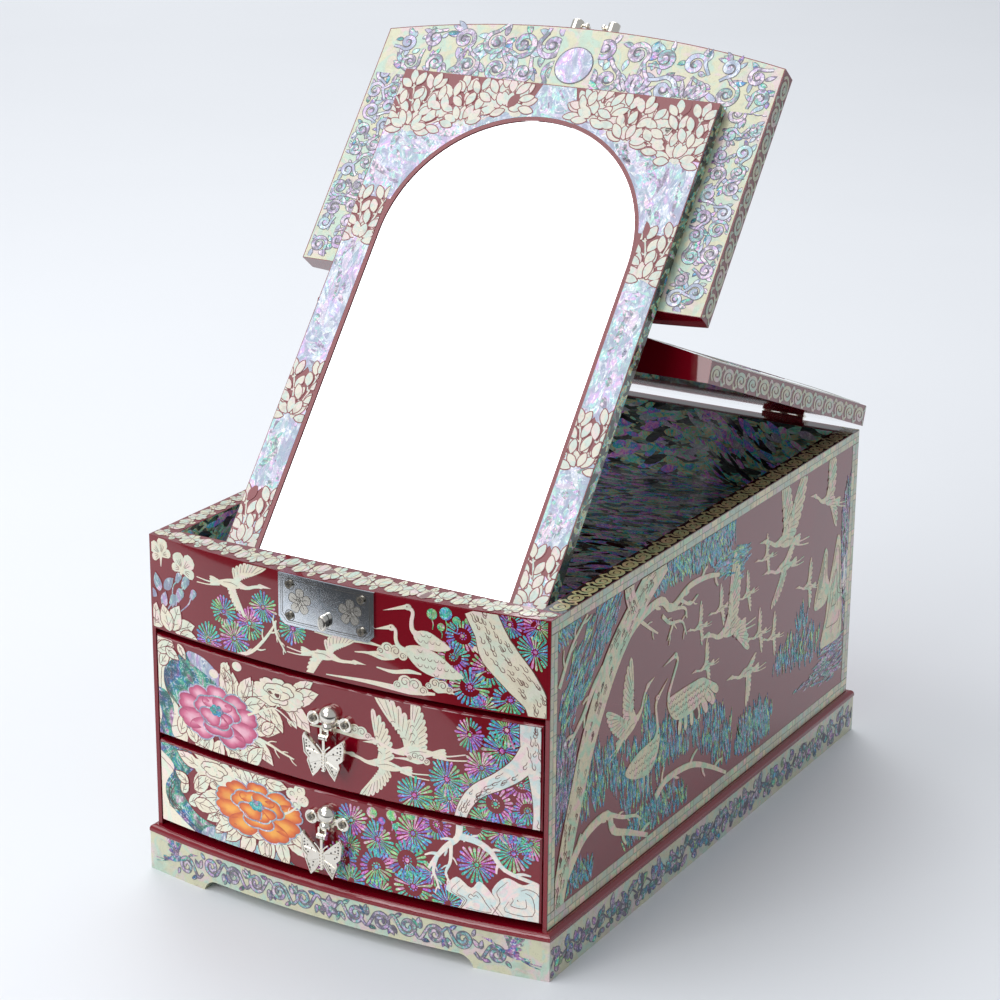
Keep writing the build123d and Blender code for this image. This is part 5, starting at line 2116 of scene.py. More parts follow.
def lower_picture(pen: Pen) -> None:
    """Orange peony, a stream, pines and rocks.

    Args:
        pen: The pen of the face.
    """
    pen.blob(
        (
            (-103, 64), (-92, 66), (-82, 66), (-79, 60), (-88, 50), (-88, 44), (-80, 36), (-68, 33),
            (-58, 34), (-46, 31), (-34, 32), (-20, 26), (-18, 22), (-78, 22), (-90, 28), (-98, 38),
            (-102, 48),
        ),
        Shell.STREAM, 1,
    )
    pen.blob(
        ((-70, 32), (-56, 33), (-46, 30), (-36, 31), (-22, 26), (-30, 23), (-60, 23), (-76, 26)),
        Shell.LILAC, 2,
    )
    rock(
        pen,
        (
            (-108, 60), (-99, 60), (-93, 55), (-99, 45), (-97, 36), (-87, 29.4), (-76, 24), (-74, 20),
            (-108, 20),
        ),
        Shell.CREAM, 4, 3,
    )
    for x, y, length, angle, width in (
        (-80, 48, 14, 35, 7), (-78, 46, 12, 80, 6), (-84, 50, 9, 150, 5), (-80, 42, 14, -10, 7),
        (-84, 40, 12, 25, 6), (-66, 40, 13, -12, 6.5), (-70, 37, 12, 20, 6), (-56, 38, 14, -18, 7),
        (-54, 42, 12, 8, 6), (-46, 36, 13, 5, 6), (-32, 40, 14, -12, 7.5), (-30, 36, 13, 20, 7),
        (-22, 42, 10, -40, 6), (-44, 62, 12, 20, 6), (-36, 64, 12, -8, 6), (-34, 61, 9, 60, 5),
        (-88, 44, 9, 60, 5), (-50, 60, 9, 130, 5),
    ):
        pen.leaf(x, y, length, width, angle, Shell.CREAM, 3)
    leafage(pen, -42, 47, 21, 11, 62, 330, 18)
    leafage(pen, -68, 60, 9, 4, -60, 190, 6)
    for x, y in ((-21.7, 61.6), (-17.4, 64.0), (-15.6, 59.6), (-20.0, 56.6)):
        pen.shape(ellipse(x, y, 3.2, 2.9), Shell.CREAM, 3)
        pen.cut(spiral(x, y, 1.6, 0, 0.8, 0.4), 0.25, 5)
    twig(pen, ((-27, 50), (-22, 53), (-18, 57), (-14, 62)), 1.2, 3)
    Peony(Shell.CREAM, Shell.LINE, Shell.CREAM, 0.36).draw(pen.at(-67, 60.4), 14, 6.6)
    Peony(Shell.ORANGE, Shell.LILAC, Shell.NEEDLE).draw(pen.at(-41.7, 47.6), 26, 14.5, 5)
    grove(pen, (
        (10.4, 56.6, 9.2, 0.4), (24, 50.4, 9.4, 0.05), (41.9, 57.4, 10.2, 0.45), (53.3, 64.0, 8.2, 0.2),
        (39, 43.7, 10.4, 0.06), (23.3, 36.9, 10.4, 0.5), (41.9, 31.6, 9.8, 0.03), (5.4, 36.6, 8.6, 0.2),
        (10.0, 26.6, 8.8, 0.35), (25.4, 24.8, 8.0, 0.1), (59, 27.0, 9.4, 0.05), (72.6, 48.7, 9.8, 0.42),
        (71.1, 66.6, 8.0, 0.0), (89.7, 57.4, 10.0, 0.02), (97.6, 63.5, 8.6, 0.48), (84, 66, 7.6, 0.1),
        (-4, 27, 7.0, 0.6), (9, 44, 6.4, 0.3), (52, 40, 6.4, 0.12),
    ))
    berries(
        pen, ((21.1, 62.8, 2.7), (31.1, 63.6, 2.6), (41.1, 65.4, 1.8), (26.2, 60.0, 1.8), (33.0, 58.6, 1.6)),
    )
    twig(pen, ((64.7, 68), (63.6, 60), (58, 54.5), (53, 48), (49.6, 42.4)), 3.4, 6.5, Shell.PEARL)
    twig(pen, ((60.5, 56), (60.2, 48), (58, 42), (60, 37.6)), 1.8, 4.5, Shell.PEARL)
    twig(pen, ((54, 50), (52, 42), (53.4, 38), (55, 33.4)), 1.8, 4.0, Shell.PEARL)
    twig(pen, ((63.4, 61), (72, 60), (79, 56.6), (86, 48.6), (101, 44.4)), 3.4, 6.5, Shell.PEARL)
    rock(
        pen, ((62, 20), (66, 30), (58, 34), (63, 41), (70, 37), (74, 41), (80, 36), (84, 30), (90, 20)),
        Shell.PEARL, 4, 4,
    )
    rock(
        pen, ((78, 20), (82, 32), (80, 38), (86, 45), (94, 43), (100, 45), (108, 40), (108, 20)),
        Shell.PEARL, 5, 5,
    )


@dataclass
class SidePanel:
    """A side board's picture with its tiled border."""

    side: int
    seed: int = 31
    half_d: float = 160.2
    top: float = 166.9
    low: float = 22.8
    tiles: tuple[float, float, float, float] = (-154.4, 153.0, 30.2, 160.6)
    picture: tuple[float, float, float, float] = (-154.2, 152.8, 30.4, 160.4)

    def build(self) -> None:
        """Lays border and picture."""
        face = Flank("case", self.side * HALF_W, self.side)
        inlay = Inlay(face, (-self.half_d, self.half_d, self.low, self.top), self.seed)
        left, right, low, high = self.tiles
        bricks(inlay, -self.half_d, self.half_d, high, self.top)
        bricks(inlay, -self.half_d, self.half_d, self.low, low)
        bricks(inlay, -self.half_d, left, *self.picture[2:])
        bricks(inlay, right, self.half_d, *self.picture[2:])
        inlay.window = self.picture
        pen = Pen(inlay)
        self.foliage(pen)
        self.tree(pen)
        self.cranes(pen)
        self.hills(pen)
        inlay.build("side_right" if self.side > 0 else "side_left")

    def foliage(self, pen: Pen) -> None:
        """Needles and grass.

        Args:
            pen: The pen of the face.
        """
        tufts(
            pen,
            (
                (-153, 108), (-153, 128), (-140, 146), (-118, 158), (-100, 158), (-101, 148), (-122, 130),
                (-140, 112),
            ),
            558, 7.8, 55,
        )
        tufts(pen, ((-153, 150), (-153, 162), (-130, 162), (-140, 152)), 74, 6.5, 120)
        tufts(
            pen,
            ((-66, 146), (-48, 158), (-20, 162), (14, 158), (17, 148), (8, 142), (-10, 143), (-40, 146)),
            496, 7.8, 100, spread=40,
        )
        tufts(
            pen, ((0, 146), (14, 146), (36, 144), (36, 138), (26, 126), (12, 134), (2, 138)), 148, 7.8, 175,
            spread=20,
        )
        tufts(
            pen,
            (
                (-133, 60), (-127, 76), (-117, 92), (-100, 86), (-88, 80), (-77, 78), (-72, 97), (-66, 95),
                (-58, 78), (-30, 78), (-5, 74), (8, 62), (20, 54), (22, 34), (4, 36), (-20, 56), (-50, 58),
                (-66, 46), (-88, 48), (-100, 62),
            ),
            1364, 9.1, 92, spread=16,
        )
        tufts(pen, ((24, 34), (30, 50), (50, 50), (66, 46), (66, 32), (40, 31)), 260, 8.45, 92, spread=20)
        tufts(pen, ((-90, 31), (-84, 42), (-50, 46), (-30, 40), (-26, 31)), 235, 7.8, 95, spread=30)
        tufts(pen, ((-150, 31), (-146, 44), (-122, 40), (-120, 31)), 99, 6.5, 95, spread=30)
        tufts(pen, ((-154, 58), (-154, 108), (-140, 104), (-134, 84)), 260, 9.1, 80, Shell.STREAM, 20)

    def tree(self, pen: Pen) -> None:
        """Leaning pine with its branches.

        Args:
            pen: The pen of the face.
        """
        shell = Shell.GREEN
        trunk(
            pen, ((-154, 24), (-146, 50), (-138, 72), (-125, 102), (-106, 130), (-84, 148), (-58, 164)),
            (11, 12, 13, 14, 15, 14, 16), shell, 90,
        )
        trunk(pen, ((-84, 146), (-90, 156), (-91, 164)), (8, 8, 9), shell, 9)
        twig(pen, ((-108, 134), (-122, 124), (-131, 114), (-144, 104)), 4.0, 8, shell)
        twig(
            pen, ((-98, 134), (-80, 142), (-60, 144), (-49, 137), (-31, 142), (-13, 141), (0, 138)), 5.0, 7,
            shell, 2,
        )
        for path in (
            ((-80, 141), (-70, 134), (-62, 129)), ((-58, 136), (-50, 130), (-38, 127), (-33, 119)),
            ((-46, 130), (-52, 122)), ((-40, 138), (-30, 133), (-22, 135)),
            ((-52, 137), (-36, 133), (-33, 127)),
        ):
            twig(pen, path, 2.0, 5, shell)
        twig(pen, ((-153, 134), (-146, 145), (-140, 152), (-129, 160)), 2.6, 8, shell)
        twig(pen, ((-144, 42), (-128, 55), (-107, 57), (-101, 47), (-86, 40), (-67, 31)), 5.5, 8, shell, 2)
        twig(pen, ((-60, 47), (-49, 52), (-25, 50), (-5, 42), (15, 31)), 4.2, 8, shell, 1)
        twig(pen, ((-108, 58), (-92, 50), (-80, 46), (-74, 42)), 2.4, 5, shell)

    def cranes(self, pen: Pen) -> None:
        """Three tall cranes and a flock.

        Args:
            pen: The pen of the face.
        """
        shell = Shell.GREEN
        FlyingCrane((78, 7.0), (132, 6.4), 1.6, 10).draw(pen.at(-103, 86, 18, 4.3), shell)
        RestingCrane(
            ((-60.5, 97.0), (-62.0, 93.0), (-60.5, 86.0), (-60.0, 80.0), (-66.0, 73.0)), (-50.5, 103.0),
            ((-58, 78), (-66, 77.5), (-80, 76), (-90.5, 71), (-86, 66.5), (-76, 63), (-66, 62.5), (-59, 70)),
            legs=(((-72, 64), (-71.5, 58), (-72, 52)), ((-68, 63), (-67.5, 57), (-68, 52))),
        ).draw(pen, shell)
        RestingCrane(
            ((-43.5, 112.0), (-41.0, 108.5), (-45.5, 101.0), (-49.5, 93.0), (-44.0, 86.0)), (-55.5, 110.5),
            (
                (-50, 92), (-40, 92.5), (-26, 92.0), (-13, 90.5), (-6, 84), (-14, 79), (-28, 77), (-41, 79),
                (-48, 85),
            ),
            (
                (-12, 86, 17, -52), (-16, 84, 15, -62), (-21, 83, 13, -74), (-26, 82, 12, -84),
                (-31, 82, 12, -92), (-36, 82, 12, -100), (-9, 87, 15, -40), (-14, 85, 13, -48),
                (-23, 82, 11, -70),
            ),
        ).draw(pen, shell)
        FlyingCrane((96, 6.6), (-150, 5.4), 0.2, 10).draw(pen.at(36.0, 103.5, 176, 5.3, True), shell)
        FlyingCrane((118, 7.2), (72, 6.6), 0.0, 9).draw(pen.at(96.0, 128.0, 170, 5.2, True), shell)
        FlyingCrane((140, 4.2), (-60, 5.0), 0.1).draw(pen.at(92.0, 118.0, 178, 4.2, True), shell)
        FlyingCrane((80, 6.8), (-140, 4.8), 0.2).draw(pen.at(143.0, 134.0, 166, 4.2, True), shell)
        FlyingCrane((150, 3.2), (-100, 4.6), 0.0).draw(pen.at(52.0, 75.0, 176, 3.9, True), shell)
        for x, y, size in (
            (-9, 117, 2.3), (13, 120, 2.3), (42, 118, 2.3), (0, 95, 2.5), (58, 92, 2.5), (74, 84, 2.4),
            (62, 130, 2.2), (116, 97, 2.7),
        ):
            FlyingCrane((95, 5.0), (-115, 4.6), 0.0, 6).draw(
                pen.at(x, y, pen.chance(168, 184), size, True), shell,
            )

    def hills(self, pen: Pen) -> None:
        """Peaks over water at the far end.

        Args:
            pen: The pen of the face.
        """
        rock(
            pen,
            (
                (113, 84), (116, 96), (120, 104), (124, 113), (127, 110), (128, 98), (131, 92), (128, 84),
                (120, 82),
            ),
            Shell.GREEN, 4, 2,
        )
        rock(
            pen,
            (
                (123, 60), (128, 74), (131, 92), (135, 104), (139, 116), (143, 112), (144, 100), (147, 84),
                (149, 66), (147, 58), (132, 58),
            ),
            Shell.GREEN, 5, 3,
        )
        rock(pen, ((140, 84), (146, 96), (152, 104), (156, 100), (156, 84), (148, 80)), Shell.PEARL, 3, 2)
        tufts(
            pen,
            (
                (60, 63), (76, 72), (92, 78), (100, 90), (104, 80), (112, 72), (124, 66), (124, 54),
                (100, 55), (78, 60),
            ),
            322, 7.8, 92, Shell.NEEDLE, 20,
        )
        tufts(
            pen, ((96, 46), (120, 48), (130, 58), (154, 60), (154, 36), (134, 38), (112, 42)), 260, 8.45,
            178, Shell.STREAM, 10,
        )
        tufts(
            pen, ((145, 104), (146, 136), (154, 142), (154, 60), (150, 62)), 235, 7.8, 92, Shell.STREAM, 18,
        )


@dataclass
class Rim:
    """Inlay on the top edges of the case."""

    width: float = 10.0
    reach: tuple[float, float] = (-150.8, 160.3)

    def build(self) -> None:
        """Lays leaves on the left and front edges and scrolls on the right one."""
        for side in (-1, 1):
            window = (*self.reach, HALF_W - self.width + 0.2, HALF_W - 0.2)
            inlay = Inlay(SideTop("case", RIM_Z, side), window, 41)
            inlay.skin(Shell.BLACK if side > 0 else Shell.RED)
            pen = Pen(inlay)
            middle = HALF_W - self.width / 2
            if side > 0:
                scroll_band(pen, -150, 160, middle, self.width * 0.9, Shell.OLIVE, 1.4)
            else:
                leafy_band(pen, -150, 160, middle, self.width * 0.92, Shell.VEIL)
            inlay.build("rim_right" if side > 0 else "rim_left")
        window = (-HALF_W + 0.3, HALF_W - 0.3, 0.0, FRONT_TOP_SPAN)
        front = Inlay(FrontTop("case", RIM_Z, cell=5.0), window, 43)
        front.skin(Shell.RED)
        leafy_band(Pen(front), -104.5, 104.5, FRONT_TOP_SPAN / 2, 9.4, Shell.VEIL)
        front.build("rim_front")


class SideTop(Face):
    """Level strip that runs along Y, u along Y and v out from the middle; at is its Z."""

    def spot(self, u: Array, v: Array, h: Array) -> Array:
        """Along a side rim."""
        return np.column_stack((self.way * v, u, self.at + h))


class FrontTop(Face):
    """Level strip behind the bowed front, u across and v from 0 in front to its span behind."""

    def spot(self, u: Array, v: Array, h: Array) -> Array:
        """Along the front rim, whose depth grows with the bow.

        Args:
            u: Across the rim.
            v: Back from the front edge, FRONT_TOP_SPAN for the whole depth.
            h: Above the rim.

        Returns:
            One row per point.
        """
        front = bow_y(u) + 0.3
        depth = -HALF_D + WALL - 0.2 - front
        return np.column_stack((u, front + v * depth / FRONT_TOP_SPAN, self.at + h))


@dataclass
class Plinth:
    """Plinth boards veneered with pale shell and scrolls, and the red moulding."""

    half_w: float = 107.9
    half_d: float = 162.0
    buds: tuple[tuple[float, float, float, float], ...] = (
        (-8.6, 1.2, 115, 4.4), (-7.6, 1.0, 70, 4.0), (-6.4, -4.0, -20, 3.6), (4.6, -3.0, -60, 3.2),
    )

    def build(self) -> None:
        """Lays the scrolls."""
        dress(["plinth_front", "plinth_left", "plinth_right", "plinth_back"], Shell.VEIL)
        dress(["base_board"], Shell.RED)
        width = (-self.half_w, self.half_w)
        front = Inlay(Bowed("case", PLINTH_STEP, cell=5.0), (*width, 0.2, PLINTH_H - 0.2), 51)
        pen = Pen(front)
        for side in (-1, 1):
            front.window = (*width, 6.3, PLINTH_H - 0.4)
            for i in range(5):
                self.tendril(pen, side * (14 + 13.5 * i), 12.7, side, 1 if i % 2 else -1)
            front.window = (*width, 0.4, PLINTH_H - 0.4)
            bird = pen.at(side * 101.5, 7.8, 168 if side > 0 else 12, 2.5, side > 0)
            FlyingCrane((100, 5.6), (60, 5.0), 0.6, 6).draw(bird, Shell.STREAM)
            self.tendril(pen, side * 84, 9.2, side, 1)
        for i in range(6):
            pen.at(0, 12.6, 60 * i + 30).shape(leaf_outline(6.0, 3.8, 0.0), Shell.SMOKE, 1)
            pen.at(0, 12.6, 60 * i + 30).shape(leaf_outline(5.2, 2.8, 0.0), Shell.SCROLL, 2)
        front.build("plinth_front")
        window = (-self.half_d, self.half_d, 0.3, PLINTH_H - 0.3)
        for side in (-1, 1):
            board = Inlay(Flank("case", side * (HALF_W + PLINTH_STEP), side), window, 53)
            pen = Pen(board)
            for i in range(23):
                x = -154 + 14 * i + pen.chance(-2, 2)
                pen.line(((x - 9, 6), (x - 3, 12), (x + 4, 8), (x + 9, 13)), (1.2, 1.0, 0.8), Shell.SMOKE, 0)
                for k in range(13):
                    angle, length = pen.chance(10, 170), pen.chance(3.4, 6.6)
                    leaf = pen.at(pen.chance(x - 8, x + 8), pen.chance(2, 13), angle)
                    outline = leaf_outline(length, length * 0.6, 0.1)
                    finish = (Shell.STREAM, Shell.SCROLL, Shell.STREAM, Shell.NEEDLE)[k % 4]
                    leaf.edged(outline, 0.3, Shell.SMOKE, finish, 0.12 * k, 0.06 + 0.12 * k)
            board.build("plinth_right" if side > 0 else "plinth_left")

    def tendril(self, pen: Pen, x: float, y: float, side: float, way: float) -> None:
        """One S-shaped scroll of the plinth front; a bud is how far over, how far up, angle and length.

        Args:
            pen: The pen.
            x: Middle.
            y: Middle.
            side: 1 at the right, -1 at the left.
            way: 1 curls up, -1 curls down.
        """
        turns = spiral(x, y - way * 0.4, 4.3, way * (90 + 40 * side), -1.5 * side * way, 0.2)
        lead = [
            (x - side * 10.4, y - way * 1.4), (x - side * 7.4, y - way * 4.0),
            (x - side * 4.4, y + way * 0.6),
        ]
        for finish, level, grow in ((Shell.SMOKE, 0, 0.8), (Shell.SCROLL, 1, 0.0)):
            pen.line([*lead, *turns], (0.9 + grow, 1.4 + grow, 1.4 + grow, 0.9 + grow), finish, level)
        for k, (over, up, angle, length) in enumerate(self.buds):
            rad = math.radians(angle)
            turn = math.degrees(math.atan2(way * math.sin(rad), side * math.cos(rad)))
            bud = pen.at(x + side * over, y + way * up, turn)
            outline = leaf_outline(length, length * 0.42, 0.16)
            bud.edged(outline, 0.4, Shell.SMOKE, (Shell.STREAM, Shell.SCROLL)[k % 2], 0, 0.4 + 0.2 * k)


@dataclass
class Lid:
    """Both leaves of the lid: underside, edges and crown, the crown with a tiled band."""

    band: float = 6.5
    crown_half_w: float = 104.0
    under_half_w: float = 105.6
    shield_r: float = 10.0

    def build(self) -> None:
        """Lays the shell on each leaf."""
        dress(["rear_lid", "front_lid"], Shell.RED)
        self.front_under()
        self.edges()
        self.crowns()

    def front_under(self) -> None:
        """Veil of shell with scrolls round the mirror panel."""
        face = Level("front_leaf", LID_Z, -1.0, Leaf.FRONT)
        front = float(bow_y(0.0, LID_LIP))
        inlay = Inlay(face, (-LID_HALF_W, LID_HALF_W, front, CUT_Y), 61)
        across = np.linspace(-LID_HALF_W + 0.5, LID_HALF_W - 0.5, 24)
        nose = [(x, float(bow_y(x, LID_LIP)) + 0.5) for x in across]
        inlay.lay(
            [*nose, (LID_HALF_W - 0.5, CUT_Y - 0.6), (-LID_HALF_W + 0.5, CUT_Y - 0.6)], Shell.VEIL, -1, 0.2,
        )
        half = self.under_half_w
        top = CUT_Y - MIRROR_RISE
        pen = Pen(inlay)
        for side in (-1, 1):
            inlay.window = (*sorted((side * 86.2, side * half)), top, CUT_Y - 1.5)
            arabesque(pen.at(side * 96.0, CUT_Y - 3.0, -90), 0, 104, 0, 20)
            inlay.window = (*sorted((side * 11.0, side * half)), front + 1.6, top)
            for step in range(6):
                x = side * (14 + 16.2 * step)
                low = float(bow_y(x, LID_LIP)) + 2.0
                arabesque(pen, x - 8.1, x + 8.1, (low + top - 1) / 2, top - 1 - low)
            inlay.window = (-half, half, front + 1.6, top)
            for fan in (34, 62):
                for i in range(7):
                    plume = pen.at(side * (fan + 1.6 * (i - 3)), top - 4.0, -90 + 17 * (i - 3))
                    reach = 11.0 - 0.8 * abs(i - 3)
                    plume.shape(leaf_outline(reach, 2.8, 0.06), Shell.SMOKE, 3)
                    plume.at(0.3, 0).shape(leaf_outline(reach * 0.92, 1.9, 0.06), Shell.SCROLL, 4)
        for finish, level, r in ((Shell.SMOKE, 7, self.shield_r), (Shell.LILAC, 8, self.shield_r - 0.5)):
            pen.shape(ellipse(0, CUT_Y - 117.6, r, r, 32), finish, level)
        inlay.build("front_lid_under")

    def edges(self) -> None:
        """Scrolls along the edges, the cut faces left plain red."""
        height = LID_EDGE_T
        for side in (-1, 1):
            x = side * LID_HALF_W
            for leaf, body, ends, name in (
                (Leaf.REAR, "rear_leaf", (CUT_Y + 1, LID_BACK_Y - 0.5), "rear"),
                (Leaf.FRONT, "front_leaf", (-HALF_D - 0.5, CUT_Y - 1), "front"),
            ):
                inlay = Inlay(
                    Flank(body, x, side, leaf), (ends[0], ends[1], LID_Z + 0.3, LID_Z + height - 0.9), 71,
                )
                scroll_band(Pen(inlay), *ends, LID_Z + height * 0.46, height * 0.9, Shell.VEIL, 1.45)
                inlay.build(f"{name}_lid_edge_{'right' if side > 0 else 'left'}")
        nose = Bowed("front_leaf", LID_LIP, leaf=Leaf.FRONT, cell=5.0)
        front = Inlay(nose, (-106, 106, LID_Z + 0.3, LID_CREST - 0.5), 73)
        scroll_band(Pen(front), -105, 105, LID_Z + height * 0.55, height * 0.9, Shell.VEIL, 1.45)
        front.build("front_lid_nose")
        back = Inlay(
            Across("rear_leaf", LID_BACK_Y, 1.0, Leaf.REAR), (-106, 106, LID_Z + 0.4, LID_Z + height), 75,
        )
        for ends in ((-106, -75), (-48, 48), (75, 106)):
            scroll_band(Pen(back), *ends, LID_Z + height * 0.5, height * 0.84, Shell.VEIL, 1.45)
        back.build("rear_lid_back")

    def crowns(self) -> None:
        """Cranes, clouds and flowers on the crown of each leaf."""
        width = (-self.crown_half_w, self.crown_half_w)
        window = (*width, CUT_Y + 0.6, LID_BACK_Y - 2)
        rear = Inlay(Crown("rear_leaf", leaf=Leaf.REAR, cell=5.0), window, 81)
        pen = Pen(rear)
        self.border(pen, *width, CUT_Y + 2, LID_BACK_Y - 2, (True, True, False, True))
        Peony(Shell.PINK, Shell.LILAC, Shell.NEEDLE).draw(pen.at(-52, 108), 27, 19, 5)
        Peony(Shell.ORANGE, Shell.LILAC, Shell.NEEDLE).draw(pen.at(34, 96), 30, 21, 5)
        Peony(Shell.CREAM, Shell.LINE, Shell.CREAM, 0.36).draw(pen.at(-8, 126), 17, 11, 4)
        for i in range(34):
            angle = i * 47.0
            cx, cy = ((-52, 108), (34, 96))[i % 2]
            rx, ry = 27 + 4 * (i % 3), 20 + 3 * (i % 3)
            x, y = cx + rx * math.cos(angle), cy + ry * math.sin(angle)
            lean = math.degrees(math.atan2(y - cy, x - cx)) + pen.chance(-30, 30)
            pen.leaf(x, y, 15, 7.5, lean, Shell.CREAM, 2)
        for x, y, r, hue in (
            (-82, 60, 11, 0.1), (-66, 50, 10, 0.4), (-84, 38, 10, 0.0), (80, 56, 11, 0.3),
            (66, 44, 10, 0.05), (84, 34, 9, 0.5), (-50, 36, 9, 0.5),
        ):
            rosette(pen, x, y, r, hue)
        for x, y, turn, size in (
            (-40, 60, 10, 6.0), (10, 30, 20, 5.0), (30, 60, -8, 4.2), (-20, 8, 6, 5.2), (46, -6, 14, 5.0),
            (-74, -4, 16, 4.4),
        ):
            FlyingCrane(neck=0.2).draw(pen.at(x, y, turn, size))
        rear.build("rear_lid_crown")
        window = (*width, -168, CUT_Y - 0.6)
        front = Inlay(Crown("front_leaf", leaf=Leaf.FRONT, cell=5.0), window, 83)
        pen = Pen(front)
        self.border(pen, *width, -HALF_D - 2, CUT_Y - 2, (True, True, True, False))
        for x, y, turn, size in (
            (-70, -80, 12, 7.0), (-8, -70, 6, 6.4), (36, -104, 18, 6.0), (-50, -124, -6, 5.6),
        ):
            FlyingCrane(neck=0.2).draw(pen.at(x, y, turn, size))
        for x, y in ((-20, -96), (20, -130), (-80, -100), (70, -66), (52, -136), (-30, -140)):
            pen.line(
                ((x - 22, y - 3), (x - 8, y - 2), (x + 8, y - 4), (x + 24, y - 2)), (0.6, 1.8, 2.2, 0.6),
                Shell.CREAM, 1,
            )
            for k in range(3):
                turns = spiral(
                    x - 6 + 6 * k, y + 1.5 * (k % 2), 3.6, 200 + 40 * k, 1.4 if k % 2 else -1.4, 0.2,
                )
                pen.line(turns, (1.05, 1.5, 1.2), Shell.CREAM, 2)
        for x, y, r, hue in (
            (-88, -60, 11, 0.2), (-80, -140, 11, 0.0), (86, -120, 12, 0.4), (74, -140, 10, 0.1),
            (90, -86, 10, 0.5),
        ):
            rosette(pen, x, y, r, hue)
        front.build("front_lid_crown")

    def border(self, pen: Pen, u0: float, u1: float, v0: float, v1: float, sides: tuple[bool, ...]) -> None:
        """Tiled band round a crown.

        Args:
            pen: The pen.
            u0: Lowest u.
            u1: Highest u.
            v0: Lowest v.
            v1: Highest v.
            sides: Whether the left, right, low and high sides have it.
        """
        a0, a1 = u0 + self.band, u1 - self.band
        low, high = v0 + self.band, v1 - self.band
        bands = (u0, a0, v0, v1), (a1, u1, v0, v1), (a0, a1, v0, low), (a0, a1, high, v1)
        for band, wanted in zip(bands, sides):
            if wanted:
                bricks(pen.inlay, *band)


